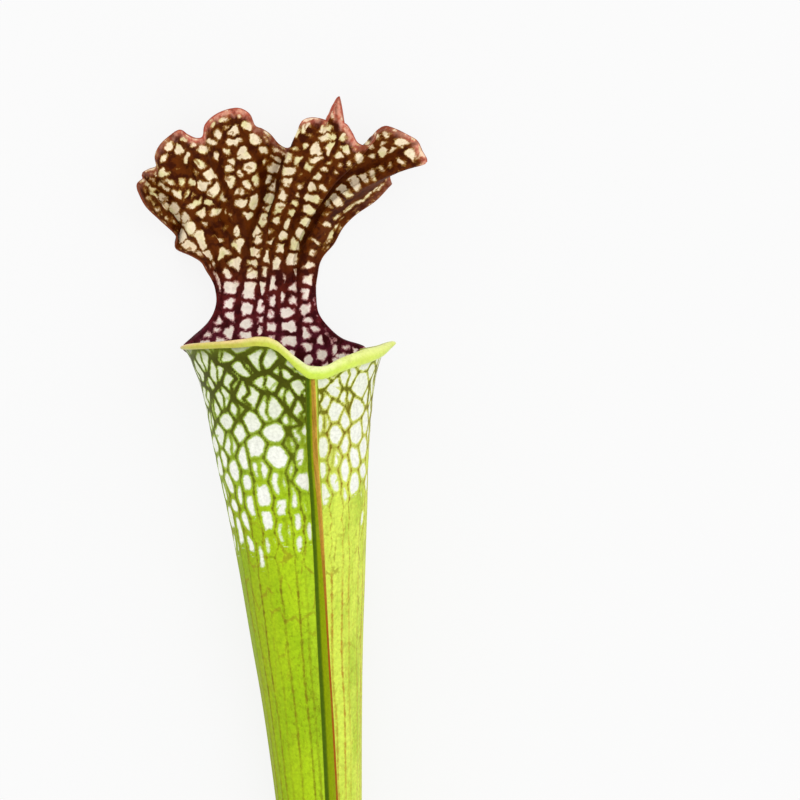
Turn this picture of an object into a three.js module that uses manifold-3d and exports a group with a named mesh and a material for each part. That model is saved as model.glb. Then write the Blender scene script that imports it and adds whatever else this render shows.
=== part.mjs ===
// A trumpet pitcher: one leaf of a pitcher plant, cut through its stalk and laid on its back, front up.
// It is one grown piece: a hollow tube with a wing along its front, a rolled lip round the mouth,
// and a frilled hood that stands on a short column behind the mouth.
// Millimetres. +Y runs from the cut stalk to the hood and +Z is up. The tube's back lies on z = 0, and
// y = 0 is the height of the lip.
import * as THREE from "three";
import Module from "manifold-3d";

// The whole leaf
const STALK_END_Y = -275; // the cut through the stalk
const TURN_DEG = 17; // the front seam is turned this far from straight up, towards +X
const WALL = 0.95; // wall of the tube
const BACK_FLAT = 0.0088; // share of the radius by which the back is pressed flat
const BACK_HALF_DEG = 6; // the flat reaches this far round to each side

// Tube: outer radius, and the middle of the section in x, by distance below the lip
const TUBE_RADIUS = [
  [-60, 19.4], [0, 19.4], [1.2, 19.1], [4.4, 18.3], [7.6, 17.4], [10.8, 16.8], [14, 16.3], [20.4, 15.5],
  [33.2, 13.9], [46, 12.5], [58.8, 11.2], [71.6, 10], [91, 8.6], [120, 6.9], [150, 5.5], [180, 4.4],
  [210, 3.6], [240, 3.1], [275, 2.9],
];
const TUBE_MIDDLE_X = [
  [-60, -0.7], [0, -0.7], [10.8, 0], [20.4, 0.5], [33.2, 1.7], [46, 2.7], [58.8, 3.6], [71.6, 4.6],
  [91, 5.9], [120, 7.6], [150, 9.2], [180, 10.5], [210, 11.4], [240, 12], [275, 12.4],
];
const HOLLOW_DEPTH = 205; // the hollow ends here, and the stalk below is solid
const HOLLOW_TAPER = 26; // the hollow narrows over this length to its end
const HOLLOW_END = 0.45; // share of its width left there
const LEAST_FLOOR = 0.8; // the wall under the hollow is at least this thick
const RIBS = 22; // low lengthwise ribs over the main veins
const RIB_HEIGHT = 0.16;
const GROOVE_DEPTH = 0.08; // how much deeper the furrows between them are
const RIBS_START = [6, 22]; // they grow in between these distances below the lip
const RIBS_FULL = 8; // and are lower where the tube's radius is less than this

// Wing along the front seam: how far it stands out of the tube, by distance below the lip
const WING_HEIGHT = [
  [0, 1.4], [8, 2.4], [20, 3], [43, 3.6], [90, 5], [140, 6], [200, 6.4], [240, 4.6], [275, 2.2],
];
const WING_ROOT = 1.5; // half its width where it leaves the tube
const WING_FOOT = 0.75; // half its width just above the fillet
const WING_EDGE = 0.42; // half its width at its edge
const WING_FILLET = 0.16; // share of its height reached just above the fillet
const WING_START = 3; // it rises over this distance below the lip

// Rim of the mouth, by angle from the front seam in degrees: height, radius and half height of the lip
const RIM_HEIGHT = [
  [-180, 4], [-163, 4], [-148, 2.2], [-132, 0.6], [-120, -0.3], [-110, -0.6], [-80, -0.4], [-53, -0.1],
  [-40, 0.2], [-33, 0.45], [-27, 0.35], [-21, -0.4], [-16.4, -1.6], [-7.8, -4.1], [0, -5.6], [6, -5.7],
  [10, -5.5], [20.6, -4.1], [37, -2.6], [53, -1.5], [66, -0.3], [73, 0.3], [82, 0], [95, -0.6], [110, -0.9],
  [120, -0.4], [132, 0.8], [142, 2.4], [155, 4], [180, 4],
];
const RIM_RADIUS = [
  [-180, 19.4], [-125, 19.4], [-107, 20.5], [-80, 20.3], [-53, 19.6], [-27, 19.0], [0, 18.7],
  [27, 19.1], [53, 20.3], [64, 21], [73, 21.8], [82, 21], [92, 20.2], [110, 19.6], [125, 19.4], [180, 19.4],
];
const LIP_HALF_HEIGHT = [
  [-110, 0.3], [-104, 0.42], [-80, 0.6], [-53, 0.75], [-33, 0.95], [-16, 1.05], [0, 1.3], [20, 1.35],
  [40, 1.4], [53, 1.2], [64, 0.85], [73, 0.42], [82, 0.5], [100, 0.45], [110, 0.3],
];
const LIP_END_DEG = 110; // the lip ends in the feet of the column
const LIP_INSET = 0.42; // its middle lies this far inside the rim's radius
const LIP_HALF_DEPTH = 0.72; // half its thickness across the rim, or more where it is high
const LIP_DEPTH_SHARE = 0.95; // share of its half height that half its thickness reaches there
const LIP_TIP = 0.3; // how far it runs on to a point at each end
const RIM_SETTLES = 26; // below this distance from the lip the tube's sections are level
const FLARE = 1.3; // the rim spreads outwards over this height

// Column and hood: a sheet that rises from inside the back wall. Its side edges, from foot to tip.
const LEFT_EDGE = [
  [-19.3, -3], [-20.8, -0.3], [-17.8, 3], [-15.8, 5.4], [-14.8, 8.4], [-15, 11.4], [-15.8, 13.4],
  [-17.2, 15.8], [-20.6, 17.9], [-23, 19.6], [-22.8, 22], [-25.8, 25], [-28.6, 27.8], [-30.2, 31],
];
const RIGHT_EDGE = [
  [15.1, -3], [15.6, -0.5], [11.2, 1.4], [8.2, 4], [6.2, 6.6], [5.5, 9.8], [5.4, 12.4], [5.8, 15],
  [7, 17.8], [9, 20.6], [10.8, 23.8], [13.4, 26.4], [17.4, 29.2], [20.6, 32.6],
];
// The same edges as angles from the middle of the back, where the sheet still follows the tube
const LEFT_ANGLE = [-89, -89, -63, -52, -47.3, -48.3, -52, -59, -59, -59, -59, -59, -59, -59];
const RIGHT_ANGLE = [54.5, 55.5, 36.5, 26, 20, 18.6, 18.6, 19.8, 19.8, 19.8, 19.8, 19.8, 19.8, 19.8];
// How far the middle of each level stands above its edges, and the height above the table of its left
// side, middle and right side once it has left the tube, with how far each edge curls back
const ARCH = [0, 0.6, 1.2, 1.9, 2.3, 2.4, 3.3, 4, 4.6, 5.6, 6.1, 6.5, 6.9, 7.2];
const Z_LEFT = [7.4, 7.4, 7.4, 7.4, 7.4, 7.4, 7.4, 7.6, 8, 8.8, 9.8, 11, 12, 13];
const Z_MIDDLE = [0.9, 0.9, 0.9, 0.9, 0.9, 0.9, 0.9, 1.5, 2.4, 3.6, 5, 6.8, 8.8, 11];
const Z_RIGHT = [1, 1, 1, 1, 1, 1, 1, 1.5, 2.2, 2.9, 3.6, 4.4, 5.4, 6.5];
const CURL_LEFT = [0, 0, 0, 0, 0, 0, 0, -0.6, -3.2, -8.3, -6, -2, 0, 0];
const CURL_RIGHT = [0, 0, 0, 0, 0, 0, 0, -0.2, -0.3, -0.5, -0.8, -0.8, -0.6, 0];
const CURL_REACH = 0.13; // share of half the sheet over which an edge curls
const LEVELS = LEFT_EDGE.length - 1;
const LEAVES_TUBE = [6 / LEVELS, 9 / LEVELS]; // it leaves the tube's round between these levels
const SHEET_LOW = 0.42; // the middle of the sheet stays this far above the table
const FRONT_LOW = 0.62; // and its two faces this far
const BACK_LOW = 0.03;
// Frilled margin from the left tip over the top to the right tip: x, y and the ruffle out of the sheet
const MARGIN = [
  [-30.2, 31, 0], [-30.4, 32.4, -2], [-29.4, 33.6, -5], [-29.6, 34.6, -6], [-28.2, 35.4, -5],
  [-26.6, 36, -3], [-26.8, 38, -1], [-25.8, 40, 1], [-23.8, 41.8, 2], [-21.8, 43, 2], [-20.2, 42, 3.5],
  [-18.4, 41.2, 5], [-17, 41.6, 5.5], [-16.6, 44, 3.5], [-14.8, 46, 1], [-12.2, 47.2, 0], [-9.8, 47.4, 0],
  [-7.8, 46.2, 0], [-6.8, 44, -1], [-5.4, 43.4, -2], [-3.8, 42.4, -4.5], [-2.2, 40.6, -7],
  [-0.6, 39.8, -9], [0.8, 40.4, -7.5], [2.2, 42, -4], [2.6, 44.8, -1], [4.2, 45.6, 0], [6.2, 45.4, 1],
  [8.2, 44.8, 1.5], [11.2, 44.4, 2], [12.6, 42.6, 3], [13.8, 40.4, 5], [15.8, 39.8, 6], [17.2, 41, 5],
  [17.8, 42.8, 3], [19.4, 43.9, 1], [21.6, 43.3, 0], [23.8, 42.2, 0], [25.7, 41, 1], [26.7, 39, 2],
  [27.6, 36.6, 3], [24.2, 35.8, 0], [21, 35.2, -3], [20.2, 34.2, -4.6], [20.6, 32.6, -6],
];
const FRILL_POWER = 2.4; // how closely the margin's lobes keep to the margin
const TIP_POWER = 7; // the same for the lobe at the right tip
const TIP_FROM = [0.7, 0.86]; // the share of the margin over which that lobe begins
const RUFFLE_POWER = 1.7; // how closely the ruffles keep to the margin
// Point at the top of the hood: where it stands on the margin, its reach to each side, and its height
const POINT_AT = 10.1;
const POINT_LEFT = 2.4;
const POINT_RIGHT = 1;
const POINT_HEIGHT = 5.2;
const POINT_LOWEST = 43; // the margin is higher than this where the point stands
const POINT_SHAPE = 1.3; // how full its sides are
const POINT_FROM = 0.86; // it is drawn out of the last part of the sheet
const SHEET = 0.72; // thickness
const VEIN_RIDGES = 11; // low ridges over the hood's main veins
const VEIN_HEIGHT = 0.22;
const VEIN_FADE = 0.7; // share of that height lost towards the margin

// How finely the surfaces are divided
const COLUMNS = 48;
const OUTER_ROWS = [
  0, 0.7, 1.6, 3, 5, 8, 12, 17, 23, 30, 38, 47, 57, 68, 80, 93, 107, 122, 138, 155, 173, 192, 212, 233, 254,
  275,
];
const INNER_ROWS = [0, 1.6, 4, 8, 14, 23, 34, 47, 62, 80, 100, 122, 145, 168, 188, HOLLOW_DEPTH];
const SHEET_COLUMNS = 56;
const SHEET_ROWS = 20;
const LIP_STEPS = 50;
const LIP_SIDES = 8;
const MARGIN_STEPS = 12; // between two points of the margin
const POINT_GAP = 0.009; // least spacing of the sheet's columns across the point, and elsewhere
const COLUMN_GAP = 0.02;

const DEG = Math.PI / 180;
const clamp = (t, low, high) => Math.min(high, Math.max(low, t));
const mix = (a, b, t) => a + (b - a) * t;
const smooth = (a, b, t) => {
  const s = clamp((t - a) / (b - a), 0, 1);
  return s * s * (3 - 2 * s);
};

// Cubic curve through four values spaced evenly, between the second and the third
function cubic(a, b, c, d, t) {
  return b + 0.5 * t * (c - a + t * (2 * a - 5 * b + 4 * c - d + t * (3 * (b - c) + d - a)));
}

// Value of a table of [position, value] pairs: a smooth curve that never overshoots its knots
function along(table, t) {
  if (t <= table[0][0]) return table[0][1];
  const last = table.length - 1;
  if (t >= table[last][0]) return table[last][1];
  let i = 0;
  while (table[i + 1][0] < t) i++;
  const slope = (k) => (table[k + 1][1] - table[k][1]) / (table[k + 1][0] - table[k][0]);
  const knot = (k) => {
    if (k === 0) return slope(0);
    if (k === last) return slope(last - 1);
    const before = slope(k - 1);
    const after = slope(k);
    return before * after <= 0 ? 0 : (2 * before * after) / (before + after);
  };
  const width = table[i + 1][0] - table[i][0];
  const s = (t - table[i][0]) / width;
  const a = table[i][1];
  const b = table[i + 1][1];
  const rise = s * s * (3 - 2 * s);
  return (
    a + (b - a) * rise + width * s * (1 - s) * ((1 - s) * knot(i) - s * knot(i + 1))
  );
}

// Value of an evenly spaced list at a share v of its length
function level(list, v) {
  const at = clamp(v, 0, 1) * (list.length - 1);
  const i = Math.min(list.length - 2, Math.floor(at));
  const value = (k) => list[clamp(k, 0, list.length - 1)];
  return cubic(value(i - 1), value(i), value(i + 1), value(i + 2), at - i);
}

const edgeLevel = (edge, v) => [
  level(edge.map((p) => p[0]), v),
  level(edge.map((p) => p[1]), v),
];

// Turns an angle from the front seam, in degrees, into the range of the rim tables
const wrap = (deg) => deg - 360 * Math.round(deg / 360);

// Middle of the tube's section at height y
function middle(y) {
  const radius = along(TUBE_RADIUS, -y);
  return { x: along(TUBE_MIDDLE_X, -y), z: radius * (1 - BACK_FLAT), radius };
}

// Outer radius of the tube at height y and at an angle from the seam, spread outwards near the rim
function outerRadius(y, deg) {
  const a = wrap(deg);
  const rimY = along(RIM_HEIGHT, a);
  const spread = along(RIM_RADIUS, a) - along(TUBE_RADIUS, -rimY);
  return along(TUBE_RADIUS, -y) + spread * Math.exp(-Math.abs(y - rimY) / FLARE);
}

// Height of a row of the tube: the rim's own line at the top, level sections further down
function rowY(s, deg) {
  const rimY = along(RIM_HEIGHT, wrap(deg));
  const fade = Math.max(0, 1 - s / RIM_SETTLES);
  return -s + rimY * fade * fade;
}

// A point at a radius, an angle from the seam and a height, with an offset along the section's tangent
function polar(radius, deg, y, sideways = 0) {
  const c = middle(y);
  const a = (deg + TURN_DEG) * DEG;
  return new THREE.Vector3(
    c.x + radius * Math.sin(a) + sideways * Math.cos(a),
    y,
    Math.max(0, c.z + radius * Math.cos(a) - sideways * Math.sin(a)),
  );
}

// The columns of a section: six of them make the wing, and the others are spread round the rest.
// Two are moved so that the pressed-flat back lies between them.
function sectionColumns(radius) {
  const root = Math.asin(WING_ROOT / radius) / DEG;
  const columns = [];
  for (let k = 0; k <= COLUMNS; k++) {
    columns.push({ deg: mix(root, 360 - root, k / COLUMNS), side: 0, wing: 0 });
  }
  for (const target of [180 - TURN_DEG - BACK_HALF_DEG, 180 - TURN_DEG + BACK_HALF_DEG]) {
    const step = (360 - 2 * root) / COLUMNS;
    columns[Math.round((target - root) / step)].deg = target;
  }
  columns.push({ deg: 0, side: -WING_FOOT, wing: WING_FILLET });
  columns.push({ deg: 0, side: -WING_EDGE, wing: 1 });
  columns.push({ deg: 0, side: WING_EDGE, wing: 1 });
  columns.push({ deg: 0, side: WING_FOOT, wing: WING_FILLET });
  return columns;
}

function outerRing(s) {
  return sectionColumns(along(TUBE_RADIUS, s)).map((column, k) => {
    const y = rowY(s, column.deg);
    const radius = outerRadius(y, column.deg);
    if (column.side !== 0) {
      const height = column.wing * along(WING_HEIGHT, s) * smooth(0, WING_START, s);
      return polar(radius + height, 0, y, column.side);
    }
    const wave = Math.cos(RIBS * column.deg * DEG);
    const height = wave > 0 ? RIB_HEIGHT - GROOVE_DEPTH : RIB_HEIGHT;
    const rib = height * wave * smooth(...RIBS_START, s);
    const besideWing = k === 0 || k === COLUMNS;
    return polar(radius + (besideWing ? 0 : rib * Math.min(1, radius / RIBS_FULL)), column.deg, y);
  });
}

function innerRing(s) {
  const narrow = mix(1, HOLLOW_END, smooth(HOLLOW_DEPTH - HOLLOW_TAPER, HOLLOW_DEPTH, s));
  return sectionColumns(along(TUBE_RADIUS, s)).map((column) => {
    const y = rowY(s, column.deg);
    const radius = (outerRadius(y, column.deg) - WALL) * narrow;
    const deg = column.deg + Math.asin(column.side / along(TUBE_RADIUS, s)) / DEG;
    const point = polar(radius, deg, y);
    point.z = Math.max(LEAST_FLOOR, point.z);
    return point;
  });
}

// A closed body from rings of points, with a point that closes it at each end
function ringBody(rings, first, last) {
  const points = [first, ...rings.flat(), last];
  const n = rings[0].length;
  const triangles = [];
  for (let k = 0; k < n; k++) {
    const next = (k + 1) % n;
    triangles.push(0, 1 + k, 1 + next);
    for (let i = 0; i < rings.length - 1; i++) {
      const a = 1 + i * n + k;
      const b = 1 + i * n + next;
      triangles.push(a, b + n, b, a, a + n, b + n);
    }
    const end = 1 + (rings.length - 1) * n;
    triangles.push(points.length - 1, end + next, end + k);
  }
  return { points, triangles };
}

function average(ring) {
  const sum = new THREE.Vector3();
  for (const p of ring) sum.add(p);
  return sum.multiplyScalar(1 / ring.length);
}

function tubeBody() {
  const inner = INNER_ROWS.map(innerRing).reverse();
  const outer = OUTER_ROWS.map(outerRing);
  const bottom = average(inner[0]);
  bottom.y -= WALL;
  const end = middle(STALK_END_Y);
  return ringBody([...inner, ...outer], bottom, new THREE.Vector3(end.x, STALK_END_Y, end.z));
}

// The rolled lip: an oval section carried round the rim from one foot of the column to the other
function lipBody() {
  const rings = [];
  const ends = [];
  for (let i = 0; i <= LIP_STEPS; i++) {
    const deg = mix(-LIP_END_DEG, LIP_END_DEG, i / LIP_STEPS);
    const y = along(RIM_HEIGHT, deg);
    const radius = along(RIM_RADIUS, deg) - LIP_INSET;
    const high = along(LIP_HALF_HEIGHT, deg);
    const wide = Math.max(LIP_HALF_DEPTH, high * LIP_DEPTH_SHARE);
    const mouth = middle(0);
    const a = (deg + TURN_DEG) * DEG;
    const ring = [];
    for (let k = 0; k < LIP_SIDES; k++) {
      const b = ((k + 0.5) / LIP_SIDES) * 2 * Math.PI;
      const r = radius + wide * Math.cos(b);
      ring.push(
        new THREE.Vector3(mouth.x + r * Math.sin(a), y + high * Math.sin(b), mouth.z + r * Math.cos(a)),
      );
    }
    rings.push(ring);
    if (i === 0 || i === LIP_STEPS) {
      const outward = i === 0 ? -1 : 1;
      const tip = average(ring);
      tip.x += outward * LIP_TIP * Math.cos(a);
      tip.z -= outward * LIP_TIP * Math.sin(a);
      ends.push(tip);
    }
  }
  return ringBody(rings, ends[0], ends[1]);
}

// The margin as a curve with even steps along it: [share of its length, x, y, ruffle]
const marginCurve = (() => {
  const curve = [];
  const value = (i, k) => MARGIN[clamp(i, 0, MARGIN.length - 1)][k];
  for (let i = 0; i < MARGIN.length - 1; i++) {
    for (let j = 0; j < MARGIN_STEPS; j++) {
      const t = j / MARGIN_STEPS;
      const at = [0, 1, 2].map((k) =>
        cubic(value(i - 1, k), value(i, k), value(i + 1, k), value(i + 2, k), t),
      );
      curve.push([0, ...at]);
    }
  }
  curve.push([0, ...MARGIN[MARGIN.length - 1]]);
  for (let i = 1; i < curve.length; i++) {
    const step = Math.hypot(
      curve[i][1] - curve[i - 1][1],
      curve[i][2] - curve[i - 1][2],
      curve[i][3] - curve[i - 1][3],
    );
    curve[i][0] = curve[i - 1][0] + step;
  }
  const total = curve[curve.length - 1][0];
  for (const c of curve) c[0] /= total;
  return curve;
})();

// Whether a place on the margin carries the point
function isNearPoint(x, y) {
  return y > POINT_LOWEST && x > POINT_AT - POINT_LEFT && x < POINT_AT + POINT_RIGHT;
}

function marginAt(share) {
  let i = 0;
  while (i < marginCurve.length - 2 && marginCurve[i + 1][0] < share) i++;
  const a = marginCurve[i];
  const b = marginCurve[i + 1];
  const t = clamp((share - a[0]) / (b[0] - a[0]), 0, 1);
  return [1, 2, 3].map((k) => mix(a[k], b[k], t));
}

// Middle of the sheet at u across (-1 left, 1 right) and v up (0 foot, 1 margin)
function sheetMiddle(u, v) {
  const share = (u + 1) / 2;
  const [leftX, leftY] = edgeLevel(LEFT_EDGE, v);
  const [rightX, rightY] = edgeLevel(RIGHT_EDGE, v);
  const y = mix(leftY, rightY, share) + level(ARCH, v) * (1 - u * u);
  const onTube = 1 - smooth(...LEAVES_TUBE, v);

  // Where it follows the tube
  const beta = mix(level(LEFT_ANGLE, v), level(RIGHT_ANGLE, v), share);
  const radius = outerRadius(y, 180 - TURN_DEG - beta) - WALL / 2;
  const c = middle(y);
  const tube = [c.x + radius * Math.sin(beta * DEG), c.z - radius * Math.cos(beta * DEG)];

  // Where it has left it
  const left = level(Z_LEFT, v);
  const mid = level(Z_MIDDLE, v);
  const right = level(Z_RIGHT, v);
  const plain = mid + ((right - left) / 2) * u + ((right + left) / 2 - mid) * u * u;
  const curl =
    level(CURL_LEFT, v) * Math.exp(-(((1 + u) / CURL_REACH) ** 2)) +
    level(CURL_RIGHT, v) * Math.exp(-(((1 - u) / CURL_REACH) ** 2));
  const free = [mix(leftX, rightX, share), plain + curl];

  const [marginX, marginY, ruffle] = marginAt(share);
  const topX = mix(LEFT_EDGE[LEVELS][0], RIGHT_EDGE[LEVELS][0], share);
  const topY = mix(LEFT_EDGE[LEVELS][1], RIGHT_EDGE[LEVELS][1], share) + ARCH[LEVELS] * (1 - u * u);
  const frill = v ** mix(FRILL_POWER, TIP_POWER, smooth(...TIP_FROM, share));
  const reach = marginX < POINT_AT ? POINT_LEFT : POINT_RIGHT;
  const fromPoint = Math.abs(marginX - POINT_AT) / reach;
  const point = isNearPoint(marginX, marginY) ? 1 - fromPoint ** POINT_SHAPE : 0;
  return new THREE.Vector3(
    mix(free[0], tube[0], onTube) + (marginX - topX) * frill,
    y + (marginY - topY) * frill + POINT_HEIGHT * point * smooth(POINT_FROM, 1, v),
    Math.max(SHEET_LOW, mix(free[1], tube[1], onTube) + ruffle * v ** RUFFLE_POWER),
  );
}

// The way its front faces there
function sheetNormal(u, v) {
  const step = 0.004;
  const acrossIt = sheetMiddle(u + step, v).sub(sheetMiddle(u - step, v));
  const upIt = sheetMiddle(u, Math.min(1, v + step)).sub(sheetMiddle(u, Math.max(0, v - step)));
  return acrossIt.cross(upIt).normalize();
}

function sheetBody() {
  // Columns at the point first, one of them at its very top, and then evenly spaced ones elsewhere
  const onPoint = marginCurve.filter(([, x, y]) => isNearPoint(x, y));
  const top = onPoint.reduce((a, b) => (Math.abs(b[1] - POINT_AT) < Math.abs(a[1] - POINT_AT) ? b : a));
  const across = [2 * top[0] - 1];
  const addColumn = (u, gap) => {
    if (across.every((other) => Math.abs(other - u) > gap)) across.push(u);
  };
  for (const [share] of onPoint) addColumn(2 * share - 1, POINT_GAP);
  for (const side of [-1, 1]) addColumn(side, COLUMN_GAP);
  for (let j = 1; j < SHEET_COLUMNS; j++) addColumn((2 * j) / SHEET_COLUMNS - 1, COLUMN_GAP);
  across.sort((a, b) => a - b);
  const grids = [[], []];
  for (let i = 0; i <= SHEET_ROWS; i++) {
    const v = i / SHEET_ROWS;
    const rows = [[], []];
    for (const u of across) {
      const p = sheetMiddle(u, v);
      const normal = sheetNormal(u, v);
      const ridge = Math.max(0, Math.cos(Math.PI * VEIN_RIDGES * (u + 1))) ** 3;
      const raised = VEIN_HEIGHT * ridge * smooth(0.1, 0.3, v) * (1 - VEIN_FADE * v);
      for (const side of [0, 1]) {
        const half = (SHEET + raised) / 2;
        const q = p.clone().addScaledVector(normal, side === 0 ? half : -half);
        q.z = Math.max(side === 0 ? FRONT_LOW : BACK_LOW, q.z);
        rows[side].push(q);
      }
    }
    grids[0].push(rows[0]);
    grids[1].push(rows[1]);
  }
  const n = across.length;
  const m = SHEET_ROWS + 1;
  const points = [...grids[0].flat(), ...grids[1].flat()];
  const triangles = [];
  const front = (i, j) => i * n + j;
  const back = (i, j) => n * m + i * n + j;
  const quad = (a, b, c, d) => triangles.push(a, b, c, a, c, d);
  for (let i = 0; i < m - 1; i++) {
    for (let j = 0; j < n - 1; j++) {
      quad(front(i, j), front(i, j + 1), front(i + 1, j + 1), front(i + 1, j));
      triangles.push(back(i, j), back(i + 1, j + 1), back(i, j + 1));
      triangles.push(back(i, j), back(i + 1, j), back(i + 1, j + 1));
    }
    quad(back(i, 0), front(i, 0), front(i + 1, 0), back(i + 1, 0));
    quad(front(i, n - 1), back(i, n - 1), back(i + 1, n - 1), front(i + 1, n - 1));
  }
  for (let j = 0; j < n - 1; j++) {
    quad(back(0, j), back(0, j + 1), front(0, j + 1), front(0, j));
    quad(front(m - 1, j), front(m - 1, j + 1), back(m - 1, j + 1), back(m - 1, j));
  }
  return { points, triangles };
}

// Joining the three bodies into one solid
const wasm = await Module();
wasm.setup();

function solid({ points, triangles }) {
  const positions = new Float32Array(points.length * 3);
  points.forEach((p, i) => positions.set([p.x, p.y, p.z], i * 3));
  const mesh = new wasm.Mesh({
    numProp: 3,
    vertProperties: positions,
    triVerts: new Uint32Array(triangles),
  });
  return new wasm.Manifold(mesh);
}

const joined = solid(tubeBody()).add(solid(sheetBody())).add(solid(lipBody()));
const result = joined.getMesh();
const positions = new Float32Array(result.numVert * 3);
for (let i = 0; i < result.numVert; i++) {
  const at = i * result.numProp;
  positions.set(result.vertProperties.subarray(at, at + 3), i * 3);
}
const geometry = new THREE.BufferGeometry();
geometry.setAttribute("position", new THREE.BufferAttribute(positions, 3));
geometry.setIndex(new THREE.BufferAttribute(new Uint32Array(result.triVerts), 1));
geometry.computeVertexNormals();

const pitcher = new THREE.Mesh(
  geometry,
  new THREE.MeshStandardMaterial({ color: 0xa9c544, roughness: 0.5, metalness: 0 }),
);
pitcher.name = "pitcher";

const leaf = new THREE.Group();
leaf.add(pitcher);
export default leaf;
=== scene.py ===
"""A trumpet pitcher leaf, cut and laid on its back on a pale table, seen from straight above.

Three surfaces make up the one grown leaf: the tube with its wing, the rolled lip, and the column with its
frilled hood. Each is worked out as a grid with numpy. The net of veins is grown in code: every point of a
surface is told how far it lies from the nearest vein, and the materials turn that distance into colour.
Shapes are in millimetres until they become meshes.
"""
import math

import bpy
import numpy as np
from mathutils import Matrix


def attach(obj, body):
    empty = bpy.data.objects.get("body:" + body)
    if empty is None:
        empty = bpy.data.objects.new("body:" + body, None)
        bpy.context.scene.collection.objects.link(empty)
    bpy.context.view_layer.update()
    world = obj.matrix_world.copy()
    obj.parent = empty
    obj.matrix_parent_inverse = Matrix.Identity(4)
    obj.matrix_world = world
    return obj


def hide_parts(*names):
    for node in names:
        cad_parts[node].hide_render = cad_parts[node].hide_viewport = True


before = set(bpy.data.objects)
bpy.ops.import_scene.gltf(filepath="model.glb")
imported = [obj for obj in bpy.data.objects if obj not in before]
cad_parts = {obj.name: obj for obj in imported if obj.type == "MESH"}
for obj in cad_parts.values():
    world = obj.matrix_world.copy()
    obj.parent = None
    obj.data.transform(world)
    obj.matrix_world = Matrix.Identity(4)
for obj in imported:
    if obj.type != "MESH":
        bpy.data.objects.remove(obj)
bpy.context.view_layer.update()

MM = 0.001

# The whole leaf
STALK_END = 275.0  # length of tube and stalk below the lip
TURN_DEG = 17.0  # the front seam is turned this far from straight up, towards +X
WALL = 0.95  # wall of the tube
BACK_FLAT = 0.0088  # share of the radius by which the back is pressed flat

# Tube: outer radius, and the middle of the section in x, by distance below the lip
TUBE_RADIUS = [
    [-60, 19.4], [0, 19.4], [1.2, 19.1], [4.4, 18.3], [7.6, 17.4], [10.8, 16.8], [14, 16.3], [20.4, 15.5],
    [33.2, 13.9], [46, 12.5], [58.8, 11.2], [71.6, 10], [91, 8.6], [120, 6.9], [150, 5.5], [180, 4.4],
    [210, 3.6], [240, 3.1], [275, 2.9],
]
TUBE_MIDDLE_X = [
    [-60, -0.7], [0, -0.7], [10.8, 0], [20.4, 0.5], [33.2, 1.7], [46, 2.7], [58.8, 3.6], [71.6, 4.6],
    [91, 5.9], [120, 7.6], [150, 9.2], [180, 10.5], [210, 11.4], [240, 12], [275, 12.4],
]
HOLLOW_DEPTH = 205.0  # the hollow ends here, and the stalk below is solid
HOLLOW_TAPER = 26.0  # over this length it narrows to this share of its width
HOLLOW_END = 0.45
LEAST_FLOOR = 0.8  # thickness under it where the back is flat
CUT_RINGS = (0.985, 0.93, 0.8, 0.62, 0.44, 0.26, 0.1)  # rings of the cut end, as shares of its radius
CUT_MARK = 0.02  # added to the share inwards, so that the rest of the leaf is told apart from the cut
VEIN_LINES = 30  # lengthwise veins round the tube
LINE_NUMBERS = [0, 8, 30]  # they stand closer together on the right of the wing, up to this angle
LINE_DEGREES = [0, 90, 360]
LINE_SHIFT = 1.5  # degrees by which each is off its even place
LINE_WANDER = 1.5  # degrees by which each strays along its length
LINE_STRENGTH = (0.4, 1.0)  # how strongly each shows, and how much that changes along its length
LINE_FADES = 0.35
LINES_INSIDE = 0.6  # times as strong inside the hollow
RIB_HEIGHT = 0.11  # each stands a little out of the surface
RIB_HALF = 0.55
RIB_SUNK = 0.3  # the surface between them lies lower by this share of their height
RIBS_START = (6, 22)
RIBS_FULL = 8.0  # radius of the tube below which they get lower
RIBS_CLEAR = 0.02  # they stay clear of the wing

# Wing along the front seam
WING_HEIGHT = [
    [0, 1.4], [8, 2.4], [20, 3], [43, 3.6], [90, 5], [140, 6], [200, 6.4], [240, 4.6], [275, 2.2],
]
WING_ROOT = 1.5  # half its width where it leaves the tube
WING_FOOT = 0.62  # half its width above the fillet
WING_EDGE = 0.22  # half its width at its edge, which it nears by this power of the height left
WING_TAPER = 1.5
WING_FILLET = 0.12  # share of its height that the fillet takes, and how fast the fillet dies away over it
FILLET_FALL = 2.2
WING_START = 3.0  # it gains its height over this length below the lip
WING_TURN = 0.5  # angle from the seam that its two sides are coloured by

# Rim of the mouth, by angle from the front seam
RIM_HEIGHT = [
    [-180, 4], [-163, 4], [-148, 2.2], [-132, 0.6], [-120, -0.3], [-110, -0.6], [-80, -0.4], [-53, -0.1],
    [-40, 0.2], [-33, 0.45], [-27, 0.35], [-21, -0.4], [-16.4, -1.6], [-7.8, -4.1], [0, -5.6], [6, -5.7],
    [10, -5.5], [20.6, -4.1], [37, -2.6], [53, -1.5], [66, -0.3], [73, 0.3], [82, 0], [95, -0.6],
    [110, -0.9], [120, -0.4], [132, 0.8], [142, 2.4], [155, 4], [180, 4],
]
RIM_RADIUS = [
    [-180, 19.4], [-125, 19.4], [-107, 20.5], [-80, 20.3], [-53, 19.6], [-27, 19.0], [0, 18.7],
    [27, 19.1], [53, 20.3], [64, 21], [73, 21.8], [82, 21], [92, 20.2], [110, 19.6], [125, 19.4],
    [180, 19.4],
]
LIP_HALF_HEIGHT = [
    [-110, 0.3], [-104, 0.42], [-80, 0.6], [-53, 0.75], [-33, 0.95], [-16, 1.05], [0, 1.3], [20, 1.35],
    [40, 1.4], [53, 1.2], [64, 0.85], [73, 0.42], [82, 0.5], [100, 0.45], [110, 0.3],
]
LIP_END_DEG = 110.0
LIP_INSET = 0.42  # its middle lies this far inside the rim's outer radius
LIP_HALF_DEPTH = 0.72  # at least, and else this share of its half height
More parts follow.
